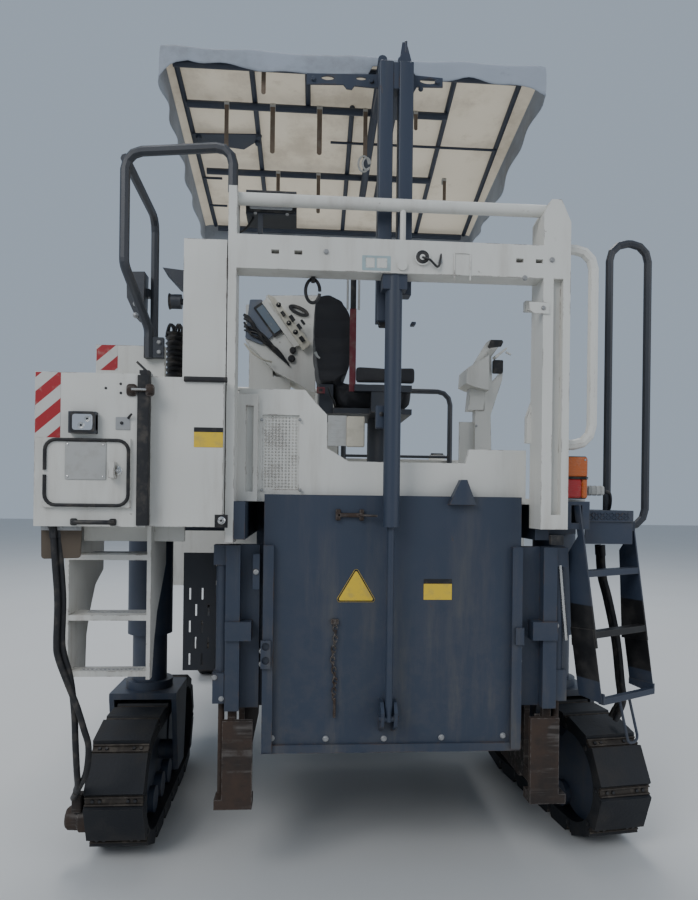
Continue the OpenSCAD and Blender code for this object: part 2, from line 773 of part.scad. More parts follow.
// Twin mast that carries the canopy
module mast() {
  color(slate) {
    slab([9, 79], [portal_front, portal_front + 70], [2190, 3345]);
    slab([96, 166], [portal_front, portal_front + 70], [beam_z, 3345]);
    slab([9, 166], [portal_front, portal_front + 70], [3290, 3345]);
    bar_z(125, portal_front + 35, [3345, 3480], 8);
  }
}

// Moves from the canopy's own frame, in which it lies flat, to its place
module at_canopy() {
  translate([-70, 120, canopy_z]) rotate([-canopy_tilt, 0, 0]) children();
}

// Canopy frame: arms from the mast, cross tubes and ribs
module canopy_frame() {
  half = canopy_w / 2 - 45;
  rib_r = 12;
  bow_r = 16;
  arm_r = 20;
  rib_z = -cover_t - gap - rib_r;
  bow_z = rib_z - rib_r - bow_r + 4;
  arm_z = bow_z - bow_r - arm_r + 4;
  color(slate) {
    at_canopy() {
      for (y = [60, canopy_len * 0.4, canopy_len * 0.75, canopy_len - 60])
        bar_x([-half, half], y, bow_z, bow_r);
      for (x = [-half, -half / 2, half / 2, half])
        bar_y(x, [30, canopy_len - 30], rib_z, rib_r);
      for (x = [114, 201])
        bar_y(x, [-60, canopy_len * 0.78], arm_z, arm_r);
    }
    slab([9, 166], [portal_front + 70, 190], [3290, 3345]);
  }
}

// Canopy cover: a sheet with a valance all round, cut out for the arms at the rear
module canopy_cover() {
  t = cover_t;
  half = canopy_w / 2;
  color(canvas)
    at_canopy()
      difference() {
        slab([-half, half], [0, canopy_len], [-valance, 0]);
        slab([-half + t, half - t], [t, canopy_len - t], [-valance - 1, -t]);
        slab([74, 241], [-1, t + 1], [-valance - 1, -50]);
      }
}

// Dark grab rails: the left one is a hoop above the locker with a second leg ahead,
// the right one is a hoop beside the platform
module handrails() {
  left = -1022;
  clamp = [-949, 70, 2045];
  outer = half_w - right_rail_r;
  color(black) {
    sweep(bent_path([[post_l + 10, -140, post_top], [post_l + 10, -140, rail_top],
                     [left, -60, rail_top], [left, -60, 2400], [clamp[0], clamp[1], 2170], clamp],
                    70), left_rail_r);
    sweep(bent_path([[left, -60, rail_top - 25], [left - 8, rear_axle_y - 120, rail_top - 25],
                     [left - 8, rear_axle_y - 120, frame_top]], 70), left_rail_r);
    slab([-968, -886], [62, 90], [2047, 2134]);
    sweep(bent_path([[1080, 90, platform_z], [1080, 90, 2620], [outer, 90, 2620],
                     [outer, 90, 1345], [platform_x[1] + gap, 90, 1345]], 80),
          right_rail_r);
  }
}

// White grab rail on the right post
module post_rail() {
  x = post_r + post_w;
  color(cream)
    sweep(bent_path([[x, -130, 2500], [910, -130, 2500], [910, -130, 1690], [x, -130, 1690]], 80),
          22);
}

// Steel rail at the front of the deck, with its low bar
module front_rail() {
  y = deck_len - 45;
  color(steel) {
    sweep(bent_path([[-40, y, deck_z], [-40, y, 2125], [616, y, 2125], [616, y, deck_z]], 80), 16);
    sweep([[-40, y, 1722], [616, y, 1722]], 9);
  }
}

// Left ladder below the locker: two shaped side plates, folded treads and the panel
// above them
module left_ladder() {
  left = [[-60, 707], [166, 707], [175, 844], [212, 924], [243, 975], [298, 1051],
          [419, 1108], [430, locker_z], [-60, locker_z]];
  right = [[-60, 707], [-20, 707], [18, 850], [68, 963], [197, 1097], [247, 1154],
           [247, locker_z], [-60, locker_z]];
  treads = [742, 970, 1216]; // heights of the treads' tops
  color(cream) {
    plate_x([-1242, -1226], left);
    plate_x([-916, -900], right);
    for (z = treads) {
      slab([-1230, -910], [-60, -54], [z - 22, z]);
      slab([-1230, -910], [-60, z < 800 ? 15 : 75], [z - 6, z]);
    }
    slab([-1186, -775], [0, 6], [1268, locker_z]);
  }
}

// Moves from the right ladder's own frame to its place: x runs along its rungs from the
// left stringer, y into its depth, and its top lies at z = 0
module at_right_ladder() {
  translate([862, -143, frame_top]) rotate([0, 0, ladder_turn]) children();
}

// The place of a step at height z, on the slant of the stringers
module at_step(z) {
  translate([-z * tan(ladder_out), z * tan(ladder_back), z]) children();
}

// Right ladder: stringers and two rungs of steel, then two rubber straps that carry the
// lowest step and its stirrup; its bracket and the platform above it
module right_ladder() {
  straps = -520;
  low = -828;
  rungs = [-271, -525]; // heights of the rungs' tops
  stringer = [[0, -598], [130, -598], [104, -357], [87, -196], [29, -130], [29, 0], [0, 0]];
  color(slate) {
    difference() {
      at_right_ladder() {
        for (x = [-8, ladder_w])
          translate([x, 0, 0]) rotate([-ladder_back, -ladder_out, 0]) plate_x([0, 8], stringer);
        for (z = rungs)
          at_step(z) slab([-4, ladder_w + 4], [0, 40], [-27, 0]);
      }
      slab([platform_x[0], 1300], [-200, 300], [1371, 1500]);
    }
    at_right_ladder()
      at_step(low) {
        slab([-8, ladder_w + 8], [0, 26], [0, 25]);
        for (x = [-8, ladder_w])
          plate_x([x, x + 8], [[0, 0], [125, 18], [125, 45], [0, 45]]);
      }
    difference() {
      slab([post_r + post_w, 904], [-135, -50], [1340, 1456]);
      slab([826, 872], [-136, -62], [1366, 1440]);
    }
    slab(platform_x, [-60, rear_axle_y - cross_d], [1371, platform_z]);
    slab(platform_x, [-52, -46], [1275, 1372]);
    slab([platform_x[1] - 8, platform_x[1]], [-52, 400], [1300, 1372]);
    slab([1110, 1168], [0, 66], [1330, 1372]);
  }
  color(black)
    at_right_ladder() {
      for (x = [-12, ladder_w + 8])
        translate([x, 0, 0]) rotate([-ladder_back, -ladder_out, 0])
          plate_x([0, 4], [[5, straps], [5, low - 2], [122, low + 16], [122, straps]]);
      at_step(low)
        sweep(bent_path([[110, 13, 8], [165, 5, -190], [228, 0, -190], [175, 13, 8]], 24), 6);
    }
}

// Scraper: plate, side rails, lower strip, clevis, rod and its small fittings
module scraper() {
  y = scraper_y;
  color(slate) {
    slab([scraper_l, scraper_r], [y, y + scraper_t], [scraper_z, scraper_top]);
    for (x = [scraper_l, scraper_r - 42])
      slab([x, x + 42], [y - 25, y], [scraper_z + 10, 1263]);
    slab([scraper_l, scraper_r], [y - 12, y], [scraper_z, scraper_z + 34]);
    plate_y([y - 30, y + scraper_t], [[316, 1436], [429, 1436], [390, 1539], [365, 1539]]);
    for (x = [lift_x - 34, lift_x + 20])
      plate_x([x, x + 14], [[cylinder_y - 14, 540], [y, 500], [y, 635], [cylinder_y + 8, 635],
                            [cylinder_y - 30, 600]]);
    bar_x([lift_x - 40, lift_x + 40], cylinder_y, 570, 12);
    difference() {
      slab([-447, -407], [y - 40, y - 24], [767, 880]);
      for (z = [800, 856])
        bar_y(-427, [y - 41, y - 27], z, 16);
    }
    slab([scraper_r - 30, scraper_r + 5], [y - 38, y - 24], [860, 930]);
  }
  color(steel)
    bar_z(lift_x, cylinder_y, [560, 1600], lift_rod_r);
}

// Barrel of the scraper's cylinder, hung from the portal beam
module scraper_barrel() {
  color(slate)
    difference() {
      union() {
        bar_z(lift_x, cylinder_y, [barrel_z, beam_z], lift_barrel_r);
        slab([lift_x - 50, lift_x + 50], [cylinder_y - 30, cylinder_y + 30], [beam_z - 60, beam_z]);
      }
      bar_z(lift_x, cylinder_y, [barrel_z - 1, beam_z - 20], lift_rod_r + fit);
    }
}

// Milling drum: body with rows of picks in a spiral
module milling_drum() {
  row = drum_w / pick_rows;
  turn = 360 / picks_round;
  color(rust)
    translate([drum_x - drum_w / 2, drum_y, drum_z]) rotate([90, 0, 90]) {
      cylinder(r = drum_body_r, h = drum_w);
      translate([0, 0, wall_out_l - drum_x + drum_w / 2])
        cylinder(r = shaft_r, h = wall_out_r - wall_out_l);
      for (i = [0 : pick_rows - 1], k = [0 : picks_round - 1])
        rotate([0, 0, k * turn + abs(i - (pick_rows - 1) / 2) * turn / 6])
          translate([0, 0, (i + 0.2) * row])
            linear_extrude(row * 0.6)
              polygon([[drum_body_r - 20, -45], [drum_body_r - 20, 45], [drum_body_r + 30, 30],
                       [cut_r, 6], [cut_r, -6], [drum_body_r + 40, -18]]);
    }
}

// Side plate with its guide bar and rod; side is -1 on the left
module side_plate(side) {
  base = side < 0 ? wall_out_l : wall_out_r;
  skid = base + side * 104;
  x0 = min(skid, skid - side * 25);
  guide = base + side * edge_guide_x - 17.5;
  foot = side < 0 ? [base - edge_rod_x - 18, base - 29] : [base + 29, base + edge_rod_x + 18];
  cheek = side < 0 ? [base - 150, base - 29] : [base + 29, base + 150];
  color(rust) {
    plate_x([x0, x0 + 25],
            [[90, 260], [150, 205], [housing_len - 150, 205], [housing_len - 60, 290],
             [housing_len - 60, 620], [90, 700]]);
    slab([guide, guide + 35], [-82, -58], [foot_z, 955]);
    slab(foot, [-140, -58], [foot_z, foot_z + 40]);
    slab(cheek, [-140, -116], [foot_z, foot_z + 355]);
    slab([x0, x0 + 25], [-60, 120], [foot_z + 20, foot_z + 79]);
  }
  color(steel) bar_z(base + side * edge_rod_x, edge_rod_y, [foot_z + 20, 1020], edge_rod_r);
}

// Lamps and mirrors round the rear, with their brackets
module lamps() {
  x = post_r + post_w;
  y = portal_y + 80;
  color([0.80, 0.25, 0.10])
    slab([x, 894], [y, y + 60], [1470, 1640]);
  color(black) {
    slab([-1145, -1047], [locker_rear - 30, locker_rear], [1684, 1763]);
    slab([-528, -325], [y, y + 140], [2600, 2696]);
    slab([-480, -460], [y, y + 18], [beam_top, 2600]);
    plate_y([470, 560], [[-1148, 2490], [-1137, 2543], [-1063, 2546], [-1067, 2322], [-1102, 2321],
                         [-1146, 2417]]);
    slab([-1068, -1050 - gap], [525, 565], [2440, 2480]);
    plate_y([-60, 60], [[-868, 2391], [-758, 2380], [-758, 2300], [-800, 2326], [-813, 2332]]);
    bar_x([-800, -758], 0, 2270, 12);
    bar_x([-842, -800], 0, 2270, 30);
  }
}

// Slotted plate beside the housing on the left, its slots staggered
module slotted_guard() {
  color(slate)
    difference() {
      union() {
        slab([-786, -650], [45, 53], [718, 1218]);
        slab([-655, wall_out_l], [45, 53], [1100, 1160]);
      }
      for (column = [0 : 3], row = [0 : 2 - column % 2])
        translate([-762 + column * 26, 0, 740 + row * 139 + (column % 2) * 70])
          slab([0, 8], [44, 54], [0, 50]);
    }
}

// Loading conveyor from the drum's mouth up to the front
load_a = [housing_len + 115, 430];
load_b = [4280, 1160];
load_angle = atan2(load_b[1] - load_a[1], load_b[0] - load_a[0]);
load_len = norm(load_b - load_a);
module at_loader() {
  translate([0, load_a[0], load_a[1]]) rotate([load_angle, 0, 0]) children();
}
module trough(len_, half, low, high) {
  for (s = [-1, 1])
    slab(s > 0 ? [half - 8, half] : [-half, -half + 8], [0, len_], [low, high]);
  for (y = [len_ * 0.08 : len_ * 0.12 : len_ - 1])
    slab([-half, half], [y, y + 40], [-20, 0]);
}
module belt(len_) {
  translate([-belt_w / 2, 0, 0]) rotate([90, 0, 90])
    linear_extrude(belt_w)
      difference() {
        union() {
          translate([0, -pulley_r - belt_t]) square([len_, 2 * (pulley_r + belt_t)]);
          circle(r = pulley_r + belt_t);
          translate([len_, 0]) circle(r = pulley_r + belt_t);
        }
        translate([0, -pulley_r]) square([len_, 2 * pulley_r]);
        circle(r = pulley_r);
        translate([len_, 0]) circle(r = pulley_r);
      }
}
module loading_conveyor() {
  color(slate)
    at_loader() {
      trough(load_len, 340, -130, 180);
      for (y = [0, load_len])
        bar_x([-340, 340], y, 0, pulley_r - gap);
      for (x = [[-beam_x[0], -334], [334, beam_x[0]]])
        slab(x, [2560, 2680], [0, 180]);
    }
  color(slate)
    for (x = [[-380, -334], [334, 380]])
      slab(x, [housing_len, load_a[0] + 60], [480, 560]);
}
module loading_belt() {
  color(black) at_loader() belt(load_len);
}

// Yoke that turns about the slewing axis and holds the discharge conveyor
module slew_yoke() {
  color(slate) {
    bar_z(0, slew_y, [housing_top - 40, frame_top + 30], 60);
    slab([-yoke_in - 40, yoke_in + 40], [slew_y - 70, slew_y + 70], [housing_top - 50, housing_top + 10 - gap]);
    difference() {
      for (s = [-1, 1])
        plate_x(s > 0 ? [yoke_in, yoke_in + 40] : [-yoke_in - 40, -yoke_in],
                [[slew_y - 70, housing_top - 50], [slew_y + 70, housing_top - 50],
                 [slew_y + 70, hinge_z], [slew_y + 160, 700], [slew_y + 160, 640],
                 [slew_y + 60, 640], [slew_y - 70, hinge_z]]);
      bar_x([-yoke_in - 50, yoke_in + 50], slew_y, hinge_z, 36 + fit);
    }
    bar_x([-yoke_in, yoke_in], slew_y + 110, 680, 30);
  }
}

module at_boom() {
  translate([0, slew_y, hinge_z]) rotate([boom_angle, 0, 0]) children();
}

// Discharge conveyor's frame, its rollers and hinge pins
module boom_frame() {
  back = 430;
  color(slate) {
    at_boom() {
      for (s = [-1, 1])
        plate_x(s > 0 ? [boom_half_w - 10, boom_half_w] : [-boom_half_w, -boom_half_w + 10],
                [[-back, -60], [-back, 70], [0, 120], [boom_len, 120], [boom_len, -60],
                 [boom_len * 0.6, -160], [ram_at + 120, -160], [ram_at + 50, ram_drop - 35],
                 [ram_at - 50, ram_drop - 35], [ram_at - 120, -160], [0, -160]]);
      for (i = [1 : 8]) {
        slab([-boom_half_w, boom_half_w], [i * boom_len / 9, i * boom_len / 9 + 50], [-20, 0]);
        for (s = [-1, 1])
          slab(mirrored(s, boom_half_w - 5, boom_half_w + 30),
               [i * boom_len / 9, i * boom_len / 9 + 50], [-55, 115]);
      }
      for (y = [-back + 120, boom_len])
        bar_x([-boom_half_w, boom_half_w], y, 0, pulley_r - gap);
      for (s = [-1, 1])
        bar_x(s > 0 ? [boom_half_w - 5, yoke_in + 35] : [-yoke_in - 35, -boom_half_w + 5], 0, 0, 36);
      bar_x([-boom_half_w, boom_half_w], ram_at, ram_drop, 25);
    }
  }
}
module boom_belt() {
  color(black) at_boom() translate([0, -310, 0]) belt(boom_len + 310);
}

// Lift cylinder of the discharge conveyor
lift_eye = [slew_y + 110, 680];
boom_eye = [slew_y + ram_at * cos(boom_angle) - ram_drop * sin(boom_angle),
            hinge_z + ram_at * sin(boom_angle) + ram_drop * cos(boom_angle)];
ram_len = norm(boom_eye - lift_eye);
ram_angle = atan2(boom_eye[1] - lift_eye[1], boom_eye[0] - lift_eye[0]);
module at_ram() {
  translate([0, lift_eye[0], lift_eye[1]]) rotate([ram_angle - 90, 0, 0]) children();
}
module boom_barrel() {
  color(slate)
    at_ram()
      difference() {
        union() {
          bar_z(0, 0, [45, 850], 45);
          bar_x([-30, 30], 0, 0, 55);
        }
        bar_x([-31, 31], 0, 0, 30 + fit);
        bar_z(0, 0, [100, 851], 25 + fit);
      }
}
module boom_rod() {
  color(steel)
    at_ram()
      difference() {
        union() {
          bar_z(0, 0, [400, ram_len - 40], 25);
          bar_x([-25, 25], 0, ram_len, 48);
        }
        translate([0, 0, ram_len]) bar_x([-26, 26], 0, 0, 30);
      }
}

module placed() {
  translate([0, -mid_y, body_lift]) children();
}

// The same for what stands on the ground
module grounded() {
  translate([0, -mid_y, 0]) children();
}

placed() main_frame();
placed() drum_housing();
placed() portal();
placed() deck();
placed() vent_grille();
placed() left_locker();
placed() locker_hatch();
placed() cabinets();
placed() engine_hood();
placed() engine_block();
placed() cooler();
placed() exhaust();
placed() fuel_tank();
placed() water_tank();
placed() side_boxes();
placed() left_console();
placed() right_console();
placed() seat_frame();
placed() seat_cushions();
placed() mast();
placed() canopy_frame();
placed() canopy_cover();
placed() handrails();
placed() post_rail();
placed() front_rail();
placed() left_ladder();
placed() right_ladder();
placed() scraper();
placed() scraper_barrel();
placed() milling_drum();
placed() side_plate(-1);  // side_plate_left
placed() side_plate(1);  // side_plate_right
placed() lamps();
placed() slotted_guard();
grounded() at_unit(-1, rear_axle_y) carrier(-1);  // carrier_rear_left
grounded() at_unit(-1, rear_axle_y) track_loop();  // track_rear_left
grounded() at_unit(1, rear_axle_y, toe_angle) carrier(1);  // carrier_rear_right
grounded() at_unit(1, rear_axle_y, toe_angle) track_loop();  // track_rear_right
grounded() at_unit(-1, front_axle_y) carrier(-1);  // carrier_front_left
grounded() at_unit(-1, front_axle_y) track_loop();  // track_front_left
grounded() at_unit(1, front_axle_y) carrier(1);  // carrier_front_right
grounded() at_unit(1, front_axle_y) track_loop();  // track_front_right
placed() loading_conveyor();
placed() loading_belt();
placed() slew_yoke();
placed() boom_frame();
placed() boom_belt();
placed() boom_barrel();
placed() boom_rod();
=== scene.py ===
import math

import bmesh
import bpy
import numpy as np
from mathutils import Matrix, Vector
from mathutils.geometry import tessellate_polygon


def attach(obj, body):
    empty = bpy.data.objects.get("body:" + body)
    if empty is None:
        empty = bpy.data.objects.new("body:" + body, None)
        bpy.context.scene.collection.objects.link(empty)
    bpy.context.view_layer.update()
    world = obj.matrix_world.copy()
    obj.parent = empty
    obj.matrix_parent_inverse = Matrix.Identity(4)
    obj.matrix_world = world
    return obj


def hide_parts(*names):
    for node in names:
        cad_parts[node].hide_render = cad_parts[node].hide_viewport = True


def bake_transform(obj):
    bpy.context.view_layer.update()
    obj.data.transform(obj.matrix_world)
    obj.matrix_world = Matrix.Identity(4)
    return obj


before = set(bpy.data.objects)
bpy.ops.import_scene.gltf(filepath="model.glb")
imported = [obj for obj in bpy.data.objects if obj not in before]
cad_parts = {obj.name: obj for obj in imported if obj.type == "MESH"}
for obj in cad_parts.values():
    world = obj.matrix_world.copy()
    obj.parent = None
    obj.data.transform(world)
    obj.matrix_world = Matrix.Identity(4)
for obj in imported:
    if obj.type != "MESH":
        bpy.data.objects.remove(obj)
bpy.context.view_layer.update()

# Camera: it stands behind the machine at the height of a person's chest, level, and
# looks a little to the right.
camera = bpy.data.objects.new("rear_view", bpy.data.cameras.new("rear_view"))
bpy.context.scene.collection.objects.link(camera)
camera.data.lens = 27.04
camera.data.sensor_width = 36.0
camera.data.shift_x = 0.0007
camera.data.shift_y = 0.0556
camera.data.clip_end = 100.0
camera.matrix_world = (
    Matrix.Translation((-0.287, -8.0848, 1.565))
    @ Matrix.Rotation(math.radians(-3.9), 4, "Z")
    @ Matrix.Rotation(math.radians(90.0), 4, "X")
    @ Matrix.Rotation(math.radians(0.7), 4, "Z")
)
bpy.context.scene.camera = camera


# White panels: the deck's walls, portal, cabinets, hood, tanks and left ladder are folded
# sheet steel, sprayed with one off-white machine paint. Road dust runs down them in
# streaks, their edges are chipped to brown primer, and their feet are the dirtiest.
class Wire:
    """An output of a material's node. Arithmetic on it adds Math nodes."""

    def __init__(self, finish, socket):
        self.finish = finish
        self.socket = socket

    def math(self, operation, *values):
        return self.finish.node("Math", {"operation": operation}, dict(enumerate(values)))

    def __add__(self, other):
        return self.math("ADD", self, other)

    def __mul__(self, other):
        return self.math("MULTIPLY", self, other)

    def __sub__(self, other):
        return self.math("SUBTRACT", self, other)

    def __rsub__(self, other):
        return self.math("SUBTRACT", other, self)

    __radd__ = __add__
    __rmul__ = __mul__

    def above(self, low, high):
        """0 below low and 1 above high, with a smooth rise between them."""
        return self.finish.node("MapRange", {"interpolation_type": "SMOOTHSTEP"},
                                {"Value": self, "From Min": low, "From Max": high})

    def below(self, low, high):
        return 1.0 - self.above(low, high)


class Finish:
    """A material of this machine, made of expressions on its nodes' outputs."""

    def __init__(self, name):
        self.material = bpy.data.materials.new(name)
        self.material.use_nodes = True
        self.tree = self.material.node_tree
        self.tree.nodes.clear()
        self.place = self.node("TexCoord", out="Object")
        axes = self.node("SeparateXYZ", {}, {0: self.place})
        outputs = axes.socket.node.outputs
        self.x, self.y, self.z = [Wire(self, outputs[i]) for i in range(3)]

    def node(self, kind, settings={}, sockets={}, out=0):
        """Adds a node: its settings first, then the values or links of its sockets."""
        node = self.tree.nodes.new("ShaderNode" + kind)
        for key, value in settings.items():
            setattr(node, key, value)
        for key, value in sockets.items():
            if isinstance(value, Wire):
                self.tree.links.new(value.socket, node.inputs[key])
            else:
                node.inputs[key].default_value = value
        return Wire(self, node.outputs[out])

    def noise(self, scale, detail=2.0, stretch=(1.0, 1.0, 1.0), rough=0.55):
        """Fractal noise on the piece's own coordinates, finer where scale is larger."""
        where = self.place
        if stretch != (1.0, 1.0, 1.0):
            where = self.node("Mapping", {}, {"Vector": where, "Scale": stretch})
        return self.node("TexNoise", {}, {"Vector": where, "Scale": scale, "Detail": detail,
                                          "Roughness": rough})

    def mix(self, mask, a, b):
        """Colour a where mask is 0 and b where it is 1."""
        colours = [(*c, 1.0) if isinstance(c, tuple) else c for c in (a, b)]
        return self.node("Mix", {"data_type": "RGBA"}, {0: mask, 6: colours[0], 7: colours[1]}, 2)

    def edges(self, radius):
        """1 along the sharp edges of the solids and 0 on their faces."""
        soft = self.node("Bevel", {"samples": 4}, {"Radius": radius})
        hard = self.node("NewGeometry", {}, {}, "Normal")
        flat = self.node("VectorMath", {"operation": "DOT_PRODUCT"}, {0: soft, 1: hard}, "Value")
        return (1.0 - flat).above(0.02, 0.22)

    def done(self, colour, roughness, bump=None, height=0.001, metallic=0.0, **fixed):
        """Closes the material: base colour, roughness, bump height in metres and fixed values."""
        sockets = {"Base Color": colour, "Roughness": roughness, "Metallic": metallic}
        if isinstance(colour, tuple):
            sockets["Base Color"] = (*colour, 1.0)
        sockets.update({key.replace("_", " "): value for key, value in fixed.items()})
        if bump is not None:
            sockets["Normal"] = self.node("Bump", {}, {"Strength": 1.0, "Distance": height,
                                                       "Height": bump})
        shader = self.node("BsdfPrincipled", {}, sockets)
        end = self.tree.nodes.new("ShaderNodeOutputMaterial")
        self.tree.links.new(shader.socket, end.inputs["Surface"])
        return self.material


def dress(material, *names):
    """Puts a material on CAD nodes, or on pieces, in place of what they carried."""
    for name in names:
        slots = bpy.data.objects[name].data.materials
        slots.clear()
        slots.append(material)


def painted(name, paint, grime, primer, dull):
    """Sprayed sheet steel: cloudy paint, runs of grime, chips and worn edges."""
    f = Finish(name)
    cloud = f.noise(1.6, 3.0)
    runs = f.noise(2.2, 5.0, (4.0, 4.0, 0.55), 0.65).above(0.48, 0.80)
    spots = f.noise(34.0, 4.0).above(0.66, 0.74)
    feet = f.z.below(0.35, 1.75)
    edge = f.edges(0.007)
    scuffs = f.noise(11.0, 6.0, (1.0, 1.0, 1.0), 0.7)
    dirt = (runs * (0.30 + 0.45 * feet) + 0.18 * feet * scuffs.above(0.42, 0.62))
    chips = edge * scuffs.above(0.50, 0.60) + spots * scuffs.above(0.56, 0.66) * 0.8
    colour = f.mix(cloud.above(0.30, 0.72), paint, tuple(0.90 * c for c in paint))
    colour = f.mix(dirt, colour, grime)
    colour = f.mix(chips, colour, primer)
    rough = dull + 0.10 * cloud + 0.30 * dirt + 0.25 * chips
    skin = 0.25 * f.noise(240.0, 1.0) + 0.9 * f.noise(3.0, 1.0) - 0.9 * chips
    return f.done(colour, rough, skin, 0.0012, Coat_Weight=0.08, Coat_Roughness=0.3)


white = painted("white_paint", (0.68, 0.67, 0.625), (0.23, 0.175, 0.12),
                (0.105, 0.062, 0.042), 0.38)
dress(white, "portal", "post_rail", "deck", "vent_grille", "left_locker", "locker_hatch", "cabinets",
      "engine_hood", "fuel_tank", "water_tank", "side_boxes", "left_console",
      "right_console", "left_ladder")

# Slate parts: the frame, drum housing, scraper plate, mast, canopy tubes, track frames
# and conveyors are welded plate in a dark blue-grey paint, dusty and rubbed.
slate = painted("slate_paint", (0.031, 0.043, 0.070), (0.120, 0.110, 0.098),
                (0.085, 0.055, 0.042), 0.46)
dress(slate, "main_frame", "drum_housing", "mast", "canopy_frame", "scraper",
      "scraper_barrel", "carrier_rear_left", "carrier_rear_right", "carrier_front_left",
      "carrier_front_right", "loading_conveyor", "slew_yoke", "boom_frame", "boom_barrel",
      "cooler")

# Slotted guard: a darker copy of the slate paint, painted shade for the shade it sits in, with oil and
# soot from the drum chamber in its grime.
shaded_oily_guard_paint = painted("shaded_oily_guard_paint", (0.010, 0.0125, 0.019), (0.042, 0.036, 0.031),
                      (0.050, 0.034, 0.026), 0.52)
dress(shaded_oily_guard_paint, "slotted_guard")

# Rails, seat frame and lamp bodies: bent tube and pressed sheet in near-black paint.
rail = painted("rail_paint", (0.030, 0.034, 0.044), (0.120, 0.110, 0.095),
               (0.110, 0.090, 0.075), 0.42)
dress(rail, "handrails", "front_rail", "seat_frame", "lamps")


# Bare steel that works in the cut: the drum with its picks, the side plates and the
# exhaust are brown with rust, and rubbed bright where the road wears them.
def rusty(name, steel, rust, dark):
    f = Finish(name)
    patch = f.noise(5.0, 8.0, (1.0, 1.0, 1.0), 0.68)
    fine = f.noise(45.0, 5.0)
    scrape = f.noise(9.0, 4.0, (0.4, 6.0, 6.0)).above(0.50, 0.66)
    edge = f.edges(0.008)
    bare = (edge * fine.above(0.40, 0.60) + 0.5 * scrape * patch.below(0.40, 0.55))
    colour = f.mix(patch.above(0.35, 0.65), dark, rust)
    colour = f.mix(bare, colour, steel)
    return f.done(colour, 0.78 - 0.30 * bare, 0.7 * patch + 0.5 * fine, 0.003, 0.75 * bare)


worn = rusty("worn_steel", (0.20, 0.18, 0.165), (0.050, 0.029, 0.019), (0.020, 0.0145, 0.012))
dress(worn, "milling_drum", "side_plate_left", "side_plate_right", "exhaust")

# Track shoes: cast steel shoes with rubber pads, black under a film of dust.
f = Finish("track_rubber")
dust = f.noise(7.0, 6.0).above(0.42, 0.72)
fine = f.noise(90.0, 3.0)
colour = f.mix(0.45 * dust + 0.25 * f.edges(0.006), (0.0055, 0.0068, 0.0105),
               (0.060, 0.053, 0.046))
rubber = f.done(colour, 0.66 + 0.2 * dust, fine + 0.8 * f.noise(14.0, 4.0), 0.0015)
dress(rubber, "track_rear_left", "track_rear_right", "track_front_left", "track_front_right")

# Conveyor belts: moulded black rubber, polished along the middle by what they carry.
f = Finish("belt_rubber")
dust = f.noise(4.0, 5.0, (1.0, 0.3, 1.0)).above(0.45, 0.75)
belt = f.done(f.mix(0.5 * dust, (0.022, 0.022, 0.024), (0.16, 0.15, 0.13)),
              0.55 + 0.25 * dust, f.noise(60.0, 2.0), 0.0008)
dress(belt, "loading_belt", "boom_belt")

# Rod of the conveyor's lift cylinder: ground and chromed, with a film of oil.
f = Finish("rod_chrome")
film = f.noise(30.0, 3.0, (1.0, 1.0, 0.2))
chrome = f.done(f.mix(film.above(0.4, 0.7), (0.72, 0.73, 0.75), (0.50, 0.49, 0.47)),
                0.12 + 0.2 * film, film, 0.0002, 1.0)
dress(chrome, "boom_rod")

# Seat: black coated cloth over foam.
f = Finish("seat_cloth")
weave = f.noise(420.0, 1.0)
wear = f.noise(6.0, 4.0).above(0.45, 0.75)
cloth = f.done(f.mix(0.5 * wear, (0.018, 0.018, 0.022), (0.060, 0.058, 0.058)),
               0.70 + 0.15 * wear, weave, 0.0006, Sheen_Weight=0.15)
dress(cloth, "seat_cushions")

# Engine: one cast block with pumps, oily grey.
f = Finish("engine_metal")
oil = f.noise(6.0, 6.0).above(0.45, 0.70)
engine = f.done(f.mix(0.7 * oil, (0.10, 0.105, 0.11), (0.03, 0.027, 0.024)),
                0.6 - 0.25 * oil, f.noise(50.0, 4.0), 0.002, 0.4)
dress(engine, "engine_block")

# Canopy cover: one sheet of cream canvas laced over the tube frame, with a valance all
# round. It rests on the ribs, sinks a little between them, and the valance's hem hangs
# in waves, higher where lashings pull it in.
MIDDLE, LIFT = 5217.7504, 115.0
REAR, UP = (0, -1, 0), (0, 0, 1)


def placed(points):
    """Millimetres from the rear tracks' rear ends, on a machine that isn't lifted by its
    columns, turned into metres from the middle of the lifted machine."""
    return (np.asarray(points, float) + (0.0, -MIDDLE, LIFT)) / 1000.0


